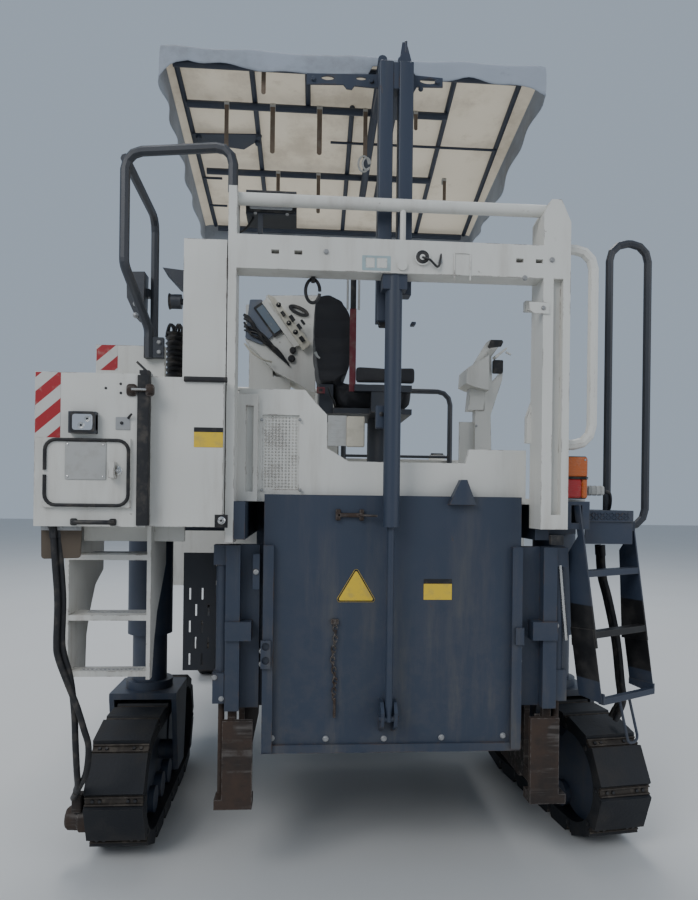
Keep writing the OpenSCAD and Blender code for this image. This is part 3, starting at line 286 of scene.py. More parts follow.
class Form:
    """A piece in millimetres: parts are added as whole arrays, then closed as one mesh."""

    def __init__(self):
        self.points, self.faces, self.kinds, self.count = [], [], [], 0

    def grid(self, p, kind=0, around=False, ends=False):
        """Quads between the neighbours of p[row, column]. around joins the last column to
        the first, and ends closes the first and last row with one face each."""
        p = np.asarray(p, float)
        rows, columns = p.shape[:2]
        number = self.count + np.arange(rows * columns).reshape(rows, columns)
        ring = np.hstack([number, number[:, :1]]) if around else number
        quads = np.stack([ring[:-1, :-1], ring[:-1, 1:], ring[1:, 1:], ring[1:, :-1]], -1)
        new = quads.reshape(-1, 4).tolist()
        if ends:
            new += [number[0].tolist(), number[-1].tolist()]
        self.faces += new
        self.kinds += [kind] * len(new)
        self.points.append(p.reshape(-1, 3))
        self.count += rows * columns
        return self

    def block(self, x, y, z, along=1, corner=0.0, soft=1.5, kind=0):
        """A bar between three pairs of limits. Its section across the axis along is a
        rectangle with arcs of radius corner, and both ends are drawn in by soft."""
        span = np.array([sorted(x), sorted(y), sorted(z)], float)
        u, v = [i for i in range(3) if i != along]
        sign = np.array([(1, 1), (-1, 1), (-1, -1), (1, -1)]).repeat(4, 0)
        bend = np.radians(np.arange(4).repeat(4) * 90.0 + np.tile(np.arange(4) * 30.0, 4))
        rows = []
        for end, inset, shift in [(0, soft, 0), (0, 0.0, soft), (1, 0.0, -soft), (1, soft, 0)]:
            half = (span[:, 1] - span[:, 0]) / 2.0 - inset
            r = min(max(corner - inset, 0.2), half[u], half[v])
            ring = np.zeros((16, 3))
            for axis, side, wave in [(u, sign[:, 0], np.cos(bend)), (v, sign[:, 1], np.sin(bend))]:
                ring[:, axis] = span[axis].mean() + side * (half[axis] - r) + r * wave
            ring[:, along] = span[along][end] + shift
            rows.append(ring)
        return self.grid(rows, kind, True, True)

    def tube(self, path, radius, sides=10, kind=0):
        """A circle of the given radius, one or one per point, carried along a path and kept
        square to it; across is the normal of the plane that the path lies nearest to."""
        path = np.asarray(path, float)
        along = np.gradient(path, axis=0)
        along /= np.linalg.norm(along, axis=1)[:, None]
        across = np.linalg.svd(path - path.mean(0))[2][-1]
        first = across - (along @ across)[:, None] * along
        first /= np.linalg.norm(first, axis=1)[:, None]
        second = np.cross(along, first)
        angle = np.arange(sides) * 2.0 * np.pi / sides
        size = np.broadcast_to(np.asarray(radius, float), len(path))[:, None, None]
        ring = (np.cos(angle)[None, :, None] * first[:, None]
                + np.sin(angle)[None, :, None] * second[:, None])
        return self.grid(path[:, None] + size * ring, kind, True, True)

    def turned(self, at, axis, profile, sides=18, kind=0):
        """A surface of revolution: profile lists radius and height along the unit axis."""
        axis = np.asarray(axis, float) / np.linalg.norm(axis)
        seed = np.eye(3)[np.argmin(np.abs(axis))]
        first = np.cross(axis, seed)
        first /= np.linalg.norm(first)
        second = np.cross(axis, first)
        angle = np.arange(sides) * 2.0 * np.pi / sides
        profile = np.asarray(profile, float)
        ring = np.cos(angle)[:, None] * first + np.sin(angle)[:, None] * second
        p = (np.asarray(at, float) + profile[:, 1, None, None] * axis
             + profile[:, 0, None, None] * ring[None])
        return self.grid(p, kind, True, True)

    def bolt(self, at, axis=REAR, across=19.0, high=9.0, kind=0):
        """A washer under a six-sided head with a chamfered top."""
        r = across / 2.0
        self.turned(at, axis, [(r * 1.25, -1), (r * 1.25, 2.4), (r * 1.1, 3)], 16, kind)
        return self.turned(at, axis, [(r * 1.12, 2), (r * 1.12, high * 0.8), (r * 0.92, high)],
                           6, kind)

    def cut(self, outline, holes, y0, y1, kind=0):
        """A plate between two planes across Y: an outline and its holes in X and Z."""
        rings = [np.asarray(ring, float) for ring in (outline, *holes)]
        every = np.concatenate(rings)
        flat = tessellate_polygon([[Vector((*p, 0.0)) for p in ring] for ring in rings])
        total, start, new = len(every), 0, []
        for ring in rings:
            here = self.count + start + np.arange(len(ring))
            after = np.roll(here, -1)
            new += np.stack([here, after, after + total, here + total], -1).tolist()
            start += len(ring)
        new += [[self.count + i + side for i in face] for face in flat for side in (0, total)]
        self.faces += new
        self.kinds += [kind] * len(new)
        self.points += [np.insert(every, 1, y, axis=1) for y in (y0, y1)]
        self.count += 2 * total
        return self

    def copy(self, other, turn=np.eye(3), at=(0.0, 0.0, 0.0)):
        """Adds another form: the rows of turn say where its axes go, and at where its
        origin goes."""
        self.faces += [[self.count + i for i in face] for face in other.faces]
        self.kinds += other.kinds
        self.points.append(np.concatenate(other.points) @ np.asarray(turn, float) + at)
        self.count += other.count
        return self

    def close(self, name, materials, slot, body="chassis", crease=35.0):
        """Makes the mesh: doubles merged, normals outward, edges under crease smooth. The
        piece rides the body, unless it has none. The slot is not used."""
        mesh = bpy.data.meshes.new(name)
        mesh.from_pydata(placed(np.concatenate(self.points)).tolist(), [], self.faces)
        mesh.polygons.foreach_set("material_index", self.kinds)
        work = bmesh.new()
        work.from_mesh(mesh)
        bmesh.ops.remove_doubles(work, verts=work.verts, dist=0.00002)
        bmesh.ops.recalc_face_normals(work, faces=work.faces)
        work.to_mesh(mesh)
        work.free()
        for material in materials:
            mesh.materials.append(material)
        mesh.shade_smooth()
        mesh.set_sharp_from_angle(angle=math.radians(crease))
        piece = bpy.data.objects.new(name, mesh)
        bpy.context.scene.collection.objects.link(piece)
        if body:
            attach(piece, body)
        return piece


def curve(points, step=8):
    """A smooth path through points: each stretch is the cubic that has the slope of its
    neighbours at both ends."""
    p = np.asarray(points, float)
    p = np.vstack([2 * p[0] - p[1], p, 2 * p[-1] - p[-2]])
    t = np.linspace(0, 1, step, endpoint=False)[None, :, None]
    a, b, c, d = p[:-3, None], p[1:-2, None], p[2:-1, None], p[3:, None]
    arc = 0.5 * (2 * b + (c - a) * t + (2 * a - 5 * b + 4 * c - d) * t**2
                 + (3 * b - a - 3 * c + d) * t**3)
    return np.vstack([arc.reshape(-1, 3), p[-2]])


def canvas_cloth(name, cream, stain, show):
    """Woven canvas with water stains; an emission in its colour is painted backlight, the sky's light as
    if shining through it, weaker where stained.
    """
    f = Finish(name)
    weave = f.noise(420.0, 1.0)
    cloud = f.noise(2.2, 7.0, rough=0.68).above(0.46, 0.68)
    mould = f.noise(9.0, 6.0, rough=0.7).above(0.58, 0.74)
    colour = f.mix(0.55 * cloud + 0.35 * mould, cream, stain)
    # Painted backlight: the canvas glows in its own colour, less where it is stained.
    painted_backlight = f.mix(0.6 * cloud + 0.3 * mould, tuple(show * c for c in cream),
                 tuple(show * 0.55 * c for c in cream))
    return f.done(colour, 0.88, 0.5 * weave + 1.2 * f.noise(14.0, 3.0), 0.0012,
                  Emission_Color=painted_backlight, Emission_Strength=1.0, Sheen_Weight=0.1)


# The top canvas glows with a strong painted backlight.
canvas = canvas_cloth("canopy_cream", (0.66, 0.60, 0.49), (0.34, 0.26, 0.17), 0.36)
# The valance is the same cream canvas, coloured darker and bluer as painted shade, with only a faint
# painted backlight.
shaded_canvas_valance = canvas_cloth("canopy_valance_painted_shade", (0.31, 0.345, 0.40), (0.17, 0.165, 0.16), 0.05)
canopy_slope = math.radians(9.0)
canopy_x, canopy_y, canopy_z = -70.0, 120.0, 3430.0


def on_canopy(p):
    """From the canopy's own frame, in which it lies flat, to its slope down to the front."""
    p = np.asarray(p, float)
    y, z = p[..., 1], p[..., 2]
    return np.stack([canopy_x + p[..., 0],
                     canopy_y + y * math.cos(canopy_slope) + z * math.sin(canopy_slope),
                     canopy_z - y * math.sin(canopy_slope) + z * math.cos(canopy_slope)], -1)


canopy_len, rib_at = 1415.0, np.array([-856.0, -800.0, -463.0, 10.0, 485.0, 795.0, 856.0])
x, y = np.meshgrid(np.linspace(-855.0, 855.0, 73), np.linspace(3.0, canopy_len - 3.0, 57))
bay = np.searchsorted(rib_at, x) - 1
wide = rib_at[bay + 1] - rib_at[bay]
across = np.sin(np.pi * (x - rib_at[bay]) / wide) * wide / 470.0
sag = 14.0 * across * (0.7 + 0.3 * np.cos(2 * np.pi * (y - 60.0) / 500.0))
crease = (0.9 * np.sin(x / 31.0 + y / 83.0) + 0.8 * np.sin(y / 27.0 - x / 140.0)) * across
z = -6.5 - sag + crease - 9.0 * ((np.abs(x) - 812.0).clip(0) / 43.0) ** 2
top = np.stack([x, y, z], -1)
rim = np.concatenate([top[0, :-1], top[:-1, -1], top[-1, :0:-1], top[:0:-1, 0]])
side = np.repeat([(0.0, -1.0), (1.0, 0.0), (0.0, 1.0), (-1.0, 0.0)], [72, 56, 72, 56], axis=0)
outward = sum(np.roll(side, k, 0) for k in range(-2, 4))
outward /= np.linalg.norm(outward, axis=1)[:, None]
hang = np.where(
    side[:, 1] < 0,
    np.interp(rim[:, 0], [-855, -800, -735, -600, -430, 50, 74, 241, 265, 500, 800, 855],
              [152, 95, 62, 78, 98, 98, 44, 44, 92, 88, 112, 140]),
    np.where(side[:, 0] > 0, np.interp(rim[:, 1], [0, 350, 800, 1050, 1415], [140, 112, 150, 118, 108]),
             np.where(side[:, 1] > 0, 112.0,
                      np.interp(rim[:, 1], [0, 400, 850, 1415], [152, 138, 152, 120]))))
length = np.concatenate([[0.0], np.cumsum(np.linalg.norm(np.diff(rim, axis=0), axis=1))])
wave = np.sin(length / 41.0 + 1.3 * np.sin(length / 230.0))
hang = hang * (1.0 + 0.05 * np.sin(length / 61.0))
down = np.linspace(0.0, 1.0, 10)[:, None]
out = 4.0 * np.sin(np.pi / 2 * (down * 4.0).clip(0, 1)) + (9.0 * wave - 2.0) * down ** 1.6
skirt = np.concatenate([rim[None, :, :2] + outward[None] * out[..., None],
                        (rim[None, :, 2] - hang * down)[..., None]], -1)
sheet = Form()
sheet.grid(on_canopy(top))
# The skirt takes the valance's darker colour, which is painted shade.
sheet.grid(on_canopy(skirt), 1, around=True)
canopy = sheet.close("canopy_canvas", [canvas, shaded_canvas_valance], "canopy_cloth", crease=80.0)
doubled = canopy.modifiers.new("cloth", "SOLIDIFY")
doubled.thickness = 0.0014
doubled.offset = 0.0
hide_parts("canopy_cover")


# Lashings of the cover: brown webbing straps that hang from its cross tubes, each with a
# grey clip over the tube and a rounded end. Two grey rings hang from one of them.
def plain(name, colour, rough, metallic=0.0, spots=0.25, **fixed):
    """A small fitting's finish: one colour, with dust in patches and a fine grain."""
    f = Finish(name)
    dust = f.noise(26.0, 5.0).above(0.45, 0.72)
    tone = f.mix(spots * dust, colour, (0.22, 0.19, 0.155))
    return f.done(tone, rough + 0.18 * dust, f.noise(130.0, 2.0), 0.0003, metallic, **fixed)


webbing = plain("brown_webbing", (0.150, 0.112, 0.082), 0.88, spots=0.6)
pale_clip = plain("grey_clip", (0.42, 0.42, 0.40), 0.55)
dull_zinc = plain("dull_zinc", (0.36, 0.36, 0.36), 0.45, 0.7)
straps = Form()
for left, bow, long, wide in [(-600, 305, 221, 20), (-381, 305, 230, 23), (-156, 305, 226, 24),
                              (66, 305, 240, 20), (-372, 812, 215, 20), (-149, 812, 217, 20),
                              (-411, 60, 130, 20), (312, 305, 84, 18), (560, 812, 120, 18)]:
    x0, y0, z0 = on_canopy((left, bow, -44.3))
    straps.block((x0 - wide / 2, x0 + wide / 2), (y0 - 19, y0 - 16.6), (z0 - long, z0 + 8), 1,
                 wide * 0.45, 0.4)
    straps.block((x0 - wide / 2 - 2, x0 + wide / 2 + 2), (y0 - 20.5, y0 + 18), (z0 - 18, z0 + 18),
                 0, 17.5, 1.0, 1)
x0, y0, z0 = on_canopy((66, 305, -44.3))
for k, r in enumerate((25, 19)):
    turn = np.linspace(0, 2 * np.pi, 22)[:-1]
    straps.tube(np.stack([x0 + (2 * k - 1) * 7 + r * np.cos(turn), y0 - 22 - 3 * k + 0 * turn,
                          z0 - 262 + 1.5 * r * np.sin(turn)], -1)[:-1], 5, 8, 1)
straps.close("canopy_lashings", [webbing, pale_clip], "canopy_cloth")

# Canopy frame: welded steel tube. Two arms run forward from the mast's head, cross tubes
# lie on them, and ribs that the cover rests on lie on the cross tubes. Thin rods brace
# the bays, and a triangular plate on the left carries a folding stay.
frame_form = Form()


def on_frame(a, b, size, height, kind=0, sides=12):
    """A straight tube between two points of the canopy's own X and Y, at a height in it."""
    ends = np.array([(*a, height), (*b, height)], float)
    t = np.linspace(0.0, 1.0, 4)[:, None]
    frame_form.tube(on_canopy(ends[0] * (1 - t) + ends[1] * t), size, sides, kind)


for y0, x0, x1 in [(60, -812, 812), (305, -790, 470), (812, -765, 480), (1382, -770, 235),
                   (1382, 300, 790)]:
    on_frame((x0, y0), (x1, y0), 17, -44.3)
for x0, x1, y0, y1 in [(-806, -788, 30, 1390), (-470, -456, 30, 1390), (3, 20, 305, 1390),
                       (-217, -212, 60, 305), (460, 498, 30, 1390), (765, 812, 30, 1390)]:
    on_frame((x0, y0), (x1, y1), 13, -20.3)
for x0, x1, y0, y1 in [(-93, 785, 546, 546), (-795, -690, 890, 890), (-795, -690, 1155, 1155)]:
    on_frame((x0, y0), (x1, y1), 6.5, -33)
for x0 in (108, 194):
    on_frame((x0, -60), (x0, 1014), 20, -76)
gusset = np.array([(-800, 520), (-462, 504), (-466, 548), (-546, 622), (-780, 590)], float)
top_side = on_canopy(np.column_stack([gusset, np.full(5, -36.0)]))
frame_form.grid([top_side, top_side - (0, 0, 6)], 0, True, True)
for x0, y0 in [(-462, 512), (-470, 560), (-770, 540)]:
    frame_form.bolt(on_canopy((x0, y0, -42)), (0, -0.3, -1), 26, 16)
frame_form.block((9, 152), (-30, 182), (3176, 3224), 1, 6, 2)
piece = frame_form.close("canopy_tubes", [slate], "slate_paint")
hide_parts("canopy_frame")

# Mast: two square tubes side by side with a joined head and a locking fin on top. A dark
# cross plate with lightening holes, bolted to the head, steers the canopy's arms.
mast = Form()
mast.block((9, 68), (-100, -30), (2190, 3264), 2, 6, 2)
mast.block((92, 152), (-100, -30), (2300, 3264), 2, 6, 2)
mast.block((60, 100), (-94, -36), (3152, 3262), 2, 2, 1)
mast.cut([(92, 3262), (152, 3262), (124, 3361), (106, 3361)], [], -70, -60)
mast.turned((122, -65, 3361), UP, [(6, -40), (6, 6), (3, 9)], 12)
turn = np.linspace(0, 2 * np.pi, 18, endpoint=False)
oval = np.stack([np.cos(turn) * 27, np.sin(turn) * 9], -1)
mast.cut([(-290, 3191), (-136, 3197), (-122, 3180), (-100, 3178), (-88, 3194), (164, 3182),
          (176, 3204), (287, 3208), (286, 3246), (158, 3252), (-290, 3235)],
         [oval + (-202, 3221), oval * 0.8 + (-61, 3226), oval * 1.35 + (225, 3230)], -29.6, -22)
for x0, z0 in [(-262, 3212), (262, 3226), (-18, 3216), (192, 3194)]:
    mast.bolt((x0, -29.6, z0), across=17, high=9)
mast.block((160, 178), (-66, -20), (2188, 2199), 0, 2)
piece = mast.close("mast_tubes", [slate], "slate_paint")
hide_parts("mast")

# Left locker's marks: films with slanted red stripes on its corner and on the panel
# behind it, cut from one roll and stuck on.
def striped(name, start):
    """White reflective film; start is where the lower edge of a red stripe would meet the
    height axis, in metres."""
    f = Finish(name)
    rise = (f.z - 0.88 * f.x - start) * (1.0 / 0.103)
    turn = f.node("Math", {"operation": "FRACT"}, {0: rise})
    red_part = turn.above(0.0, 0.012) * turn.below(0.505, 0.517)
    wear = f.noise(30.0, 6.0).above(0.55, 0.72)
    colour = f.mix(red_part, (0.56, 0.55, 0.52), (0.36, 0.014, 0.020))
    return f.done(f.mix(0.35 * wear, colour, (0.42, 0.36, 0.30)), 0.40 + 0.2 * wear)


films = Form()
films.block((-1274, -1183), (-301, -300.2), (1668, 1909), 1, 2, 0.2)
films.block((-1172, -1083), (89, 89.8), (1993, 2101), 1, 2, 0.2, 1)
films.close("striped_films", [striped("stripes_low", 3.021), striped("stripes_high", 3.175)],
            "white_paint")

# Rubber strips: one closes the gap between the locker and the middle cabinet from top to
# bottom, one lies under the upper cabinet. Below, a flat black square is painted shade of a
# nook, with a chromed fitting in it.
black_rubber = plain("black_rubber", (0.010, 0.010, 0.012), 0.62)
seals_and_nook_shade = Form()
seals_and_nook_shade.block((-904, -861), (-307, -300.3), (1345, 1906), 2, 3)
seals_and_nook_shade.block((-900, -862), (-300.3, -262), (1345, 1926), 2, 6)
seals_and_nook_shade.block((-742, -578), (-262, -250.3), (1893, 1914), 0, 6)
# Painted shade: a black square, 1.2 mm thick, stands for the shade of the nook.
seals_and_nook_shade.block((-621, -571), (-251.4, -250.2), (1338, 1388), 1, 1, 0.3)
seals_and_nook_shade.turned((-594, -251, 1366), REAR, [(15, 0), (15, 8), (10, 12), (9, 20), (5, 21)], 18, 1)
seals_and_nook_shade.turned((-594, -271, 1366), REAR, [(5, 0), (5, 4), (3, 5)], 8)
fitting_chrome = plain("fitting_chrome", (0.6, 0.6, 0.6), 0.25, 0.9)
seals_and_nook_shade.close("cabinet_seals", [black_rubber, fitting_chrome], "track_rubber")

# Mud flap under the locker: a brown, dusty rubber sheet with rounded corners, held by
# three screws under a clamping bar.
def rounded(corners, r, steps=5):
    """An outline with an arc of radius r at each corner."""
    p = np.asarray(corners, float)
    rows = []
    for a, b, c in zip(np.roll(p, 1, 0), p, np.roll(p, -1, 0)):
        u, v = (a - b) / np.linalg.norm(a - b), (c - b) / np.linalg.norm(c - b)
        half = math.acos(float(u @ v)) / 2.0
        middle = b + (u + v) / np.linalg.norm(u + v) * r / math.sin(half)
        first, last = b + u * r / math.tan(half) - middle, b + v * r / math.tan(half) - middle
        for t in np.linspace(0.0, 1.0, steps):
            arm = first * (1 - t) + last * t
            rows.append(middle + arm / np.linalg.norm(arm) * r)
    return np.array(rows)


flap_rubber = painted("flap_rubber", (0.105, 0.080, 0.058), (0.20, 0.165, 0.125),
                      (0.04, 0.03, 0.025), 0.75)
flap = Form()
flap.cut(rounded([(-1268, 1342), (-1118, 1342), (-1122, 1218), (-1266, 1214)], 12, 4), [], -247, -241)
flap.block((-1268, -1118), (-251, -247), (1322, 1342), 0, 2, 1, 1)
for x0 in (-1245, -1193, -1140):
    flap.bolt((x0, -251, 1332), across=12, high=5, kind=1)
flap.close("mud_flap", [flap_rubber, dull_zinc], "track_rubber")

# Locker hatch: a black rubber edging in two lengths runs round it, and it carries the
# blank number plate with its four screws and a round lock with its handle.
blank_plate = plain("blank_plate", (0.40, 0.40, 0.385), 0.42)
bright_steel = plain("bright_steel", (0.62, 0.61, 0.59), 0.26, 0.95)
edge = Form()
turn = np.linspace(0, np.pi / 2, 6)
corner = 40.0
x0, x1, z0, z1 = -1233.0, -931.0, 1419.0, 1660.0
path = np.concatenate([
    [(x0, 1548)], np.stack([x0 + corner - corner * np.cos(turn), z1 - corner + corner * np.sin(turn)], -1),
    np.stack([x1 - corner + corner * np.sin(turn), z1 - corner + corner * np.cos(turn)], -1),
    np.stack([x1 - corner + corner * np.cos(turn), z0 + corner - corner * np.sin(turn)], -1),
    np.stack([x0 + corner - corner * np.sin(turn), z0 + corner - corner * np.cos(turn)], -1),
    [(x0, 1530)]])
for part in (path[:13], path[12:]):
    edge.tube(np.stack([part[:, 0], np.full(len(part), -315.0), part[:, 1]], -1), 6.5, 10)
edge.block((-1160, -1012), (-316, -312.2), (1514, 1652), 1, 4, 1.0, 1)
edge.turned((-970, -312, 1548), REAR, [(17, 0), (17, 4), (14, 6), (9, 6), (8, 9), (3, 9.5)], 24, 2)
edge.block((-975, -965), (-330, -318), (1544, 1552), 1, 2, 1.0, 2)
for x0, z0 in [(-1150, 1642), (-1022, 1642), (-1150, 1524), (-1022, 1524)]:
    edge.turned((x0, -316, z0), REAR, [(4, 0), (4, 1.2), (2, 2)], 12, 2)
edge.close("hatch_trim", [black_rubber, blank_plate, bright_steel], "track_rubber", "hatch")

# Locker front: the black working lamp with its chrome reflector, the grey latch plate
# with its lever, and the black carrying handle below the hatch, on two feet.
black_plastic = plain("black_plastic", (0.012, 0.012, 0.014), 0.42)
lens_clear = plain("clear_lens", (0.55, 0.57, 0.60), 0.10, 0.55, 0.1)
front = Form()
front.block((-1141, -1047), (-332, -300.5), (1684, 1764), 1, 13, 4)
front.block((-1146, -1138), (-322, -306), (1715, 1735), 1, 2)
front.block((-1130, -1058), (-334.5, -331), (1695, 1753), 1, 9, 1, 1)
front.turned((-1098, -334, 1712), REAR, [(13, 0), (11, 1.5), (4, 0.5)], 20, 2)
front.turned((-1076, -334, 1736), REAR, [(12, 0), (10, 1.5), (4, 0.5)], 20, 2)
front.block((-982, -930), (-303, -300.3), (1701, 1748), 1, 2, 0.6, 3)
front.turned((-960, -303, 1726), REAR, [(6, 0), (6, 3), (3, 4)], 16, 0)
front.tube([(-936, -306, 1744), (-928, -312, 1752), (-921, -314, 1760)], [5, 4.5, 3.5], 8, 0)
front.tube(curve([(-1130, -300, 1357), (-1128, -322, 1357), (-1112, -334, 1357), (-1060, -336, 1357),
                  (-1008, -334, 1357), (-990, -322, 1357), (-988, -300, 1357)], 5), 8.5, 12)
for x0 in (-1130, -988):
    front.block((x0 - 13, x0 + 13), (-305, -300.3), (1344, 1370), 1, 6)
front.turned((-988, -305, 1356), REAR, [(5, 0), (5, 3), (2, 4)], 12, 1)
for x0, z0 in [(-1020, 1855), (-966, 1872), (-965, 1838)]:
    front.turned((x0, -300.2, z0), REAR, [(5, 0), (5, 1), (2, 1.4)], 12, 0)
front.close("locker_fittings", [black_plastic, lens_clear, bright_steel, dull_zinc], "lamp_parts")

# Hasp of the locker: two rusty eye plates, welded to the locker and to the cabinet, with
# a bright pin through them over the rubber strip.
hasp = Form()
for x0, x1, y0 in [(-944, -906, -300.3), (-873, -840, -307)]:
    hasp.block((x0, x1), (y0 - 6, y0 - 0.3), (1826, 1872), 1, 12, 1)
    hasp.turned(((x0 + x1) / 2, y0 - 4, 1850), REAR, [(15, 0), (15, 10), (9, 14), (4, 14)], 14)
hasp.block((-925, -856), (-316, -308), (1843, 1857), 0, 4, 1)
hasp.tube([(-922, -319, 1850), (-890, -321, 1850), (-858, -319, 1849)], 4.2, 8, 1)
hasp.close("locker_hasp", [worn, bright_steel], "worn_steel")

# Blank labels: a yellow film with a black head strip on the cabinet and another on the
# scraper plate, and a pale film with two white fields on the portal's beam.
def label(form, x, z, head, plane):
    """A film 0.8 mm thick on the plane, its head strip as high as head."""
    for low, high, kind in [(z[0], z[1] - head, 0), (z[1] - head, z[1], 1)]:
        form.block(x, (plane - 0.8, plane), (low, high), 1, 1, 0.2, kind)


yellow_film = plain("yellow_film", (0.74, 0.50, 0.035), 0.45, spots=0.35)
pale_film = plain("pale_film", (0.34, 0.44, 0.46), 0.45)
labels = Form()
label(labels, (-703, -593), (1645, 1721), 18, -250.4)
labels.block((-62, 52), (-200.9, -200.3), (2361, 2420), 1, 3, 0.2, 2)
for x in [(-48, -12), (-4, 38)]:
    labels.block(x, (-201.4, -200.8), (2371, 2411), 1, 3, 0.2, 3)
labels.close("blank_labels", [yellow_film, black_rubber, pale_film, white], "white_paint")
scraper_label = Form()
label(scraper_label, (219, 337), (1041, 1127), 20, -95.4)
scraper_label.close("scraper_label", [yellow_film, black_rubber], "slate_paint", "scraper_plate")

# Portal beam: a welded seam, four bolts, two black caps, one with a cable that runs up to
# the rail, a white angle at the right, and a black ring that hangs behind it at the left.
beam = Form()
for x0 in (308, 372):
    beam.tube([(x0, -201, 2334), (x0, -202.5, 2390), (x0, -201, 2441)], 2.6, 8, 2)
beam.tube([(308, -201, 2441), (340, -202.5, 2443), (372, -201, 2441)], 2.6, 8, 2)
for x0, z0 in [(250, 2404), (707, 2429), (-205, 2428), (596, 2352)]:
    beam.bolt((x0, -200, z0), across=17, high=7, kind=1)
beam.turned((178, -200, 2419), REAR, [(31, 0), (31, 5), (27, 8), (12, 9), (10, 6)], 28)
beam.turned((98, -200, 2384), REAR, [(19, 0), (19, 4), (15, 6), (5, 5)], 24)
beam.tube(curve([(178, -206, 2419), (205, -222, 2404), (238, -214, 2380), (250, -206, 2412),
                 (256, -190, 2452)]), 4.5, 8)
beam.cut([(614, 2256), (614, 2222), (640, 2210), (697, 2210), (697, 2256)], [], -206, -201, 2)
beam.bolt((672, -206, 2232), across=13, high=5, kind=1)
ring = np.linspace(0, 2 * np.pi, 29)
beam.tube(np.stack([-255 + 29 * np.cos(ring), np.full(29, -104.0), 2301 + 48 * np.sin(ring)], -1)[:-1],
          7, 8)
beam.block((-262, -246), (-130, -96), (2335, 2352), 2, 3)
beam.close("beam_fittings", [black_plastic, dull_zinc, white], "lamp_parts")

# Scraper plate: a blank triangle sign with a black rim, the screws of the wear strips, and
# the chain that secures its lock, with the handle at its top; they lift with the plate.
sign = Form()
corners = np.array([(-62, 1176), (-148, 1031), (24, 1031)], float)
sign.cut(rounded(corners, 10), [], -96.0, -95.2, 0)
middle = corners.mean(0)
sign.cut(rounded(middle + (corners - middle) * 0.97, 8),
         [rounded(middle + (corners - middle) * 0.87, 6)], -96.6, -95.8, 1)
sign.close("blank_triangle", [yellow_film, black_rubber], "white_paint", "scraper_plate")

gear = Form()
for x0, z0 in [(-443, 830), (-443, 777), (625, 840), (625, 785), (-400, 475), (-180, 470),
               (60, 468), (300, 470), (560, 475)]:
    gear.bolt((x0, -95, z0), across=20, high=9, kind=1)
link = np.linspace(0, 2 * np.pi, 13)[:-1]
loop = np.stack([9 * np.cos(link), 14.5 * np.sin(link)], -1)
link_count, link_pitch = 15, 21.5
for i in range(link_count):
    z0 = 946 - link_pitch * i
    x0 = -150 + 5 * math.sin(i * 0.7)
    tilt = math.radians(20 if i % 2 else 75)
    gear.tube(np.stack([x0 + loop[:, 0] * math.cos(tilt), -103 - loop[:, 0] * math.sin(tilt) * 0.6,
                        z0 + loop[:, 1]], -1), 3.0, 6)
gear.block((-164, -132), (-108, -95), (940, 962), 1, 4)
gear.tube([(-146, -104, 640), (-146, -110, 600), (-146, -104, 560)], 5.5, 8)
for x0, x1, z0, z1 in [(-142, -40, 1379, 1397), (-150, -130, 1366, 1412), (-52, -34, 1366, 1412)]:
    gear.block((x0, x1), (-112, -95), (z0, z1), 0, 6, 2)
gear.tube([(-60, -108, 1390), (-30, -118, 1388), (20, -120, 1386)], 5, 8)
gear.close("scraper_gear", [worn, dull_zinc], "worn_steel", "scraper_plate")

# Tail lamp: an amber block above a red one, moulded lenses with ribs, in a black tray on
# the right post, held by three screws.
def lens(name, colour):
    """Moulded clear plastic over a reflector: ribs, and a little light of its own."""
    f = Finish(name)
    ribs = f.z * 900.0
    wave = f.node("Math", {"operation": "SINE"}, {0: ribs})
    dust = f.noise(30.0, 4.0).above(0.5, 0.75)
    return f.done(f.mix(0.25 * dust, colour, (0.20, 0.16, 0.12)), 0.16 + 0.3 * dust, 0.5 * wave,
                  0.0012, Coat_Weight=0.6, Coat_Roughness=0.08,
                  Emission_Color=(*colour, 1.0), Emission_Strength=0.05)


amber = lens("amber_lens", (0.46, 0.105, 0.014))
red = lens("red_lens", (0.34, 0.010, 0.010))
tail_lamp = Form()
tail_lamp.block((783, 896), (-122, -112), (1466, 1644), 1, 8, 2)
tail_lamp.block((786, 893), (-140, -121), (1556, 1640), 1, 10, 6, 1)
tail_lamp.block((786, 868), (-140, -121), (1470, 1550), 1, 10, 6, 2)
tail_lamp.block((870, 893), (-138, -121), (1470, 1550), 1, 6, 5, 1)
for z0 in (1556, 1550):
    tail_lamp.block((785, 894), (-141, -120), (z0 - 2, z0 + 2), 0, 1, 0.6)
for x0, z0 in [(800, 1628), (880, 1628), (800, 1480)]:
    tail_lamp.turned((x0, -140, z0), REAR, [(4, 0), (4, 2), (2, 2.6)], 12, 3)
tail_lamp.close("tail_lamp", [black_plastic, amber, red, dull_zinc], "lamp_parts")

# Rear plug: a grey plug with ribs in its socket beside the tail lamp, the black cables on
# both its sides, and a small black box on the frame below.
plug = Form()
plug.block((936, 1008), (-46, 0), (1484, 1523), 0, 9, 3, 1)
for x0 in (950, 972, 994):
    plug.block((x0 - 2, x0 + 2), (-48, 0), (1482, 1525), 0, 9, 0.5, 1)
plug.block((708, 762), (-222, -200), (1279, 1319), 1, 5, 2)
plug.tube(curve([(1008, -22, 1503), (1040, -20, 1492), (1062, 20, 1440), (1060, 60, 1380)]), 8, 8)
plug.tube(curve([(890, -100, 1500), (915, -70, 1480), (930, -30, 1500), (937, -22, 1503)]), 6, 8)
plug.close("rear_plug", [black_plastic, pale_clip], "lamp_parts")

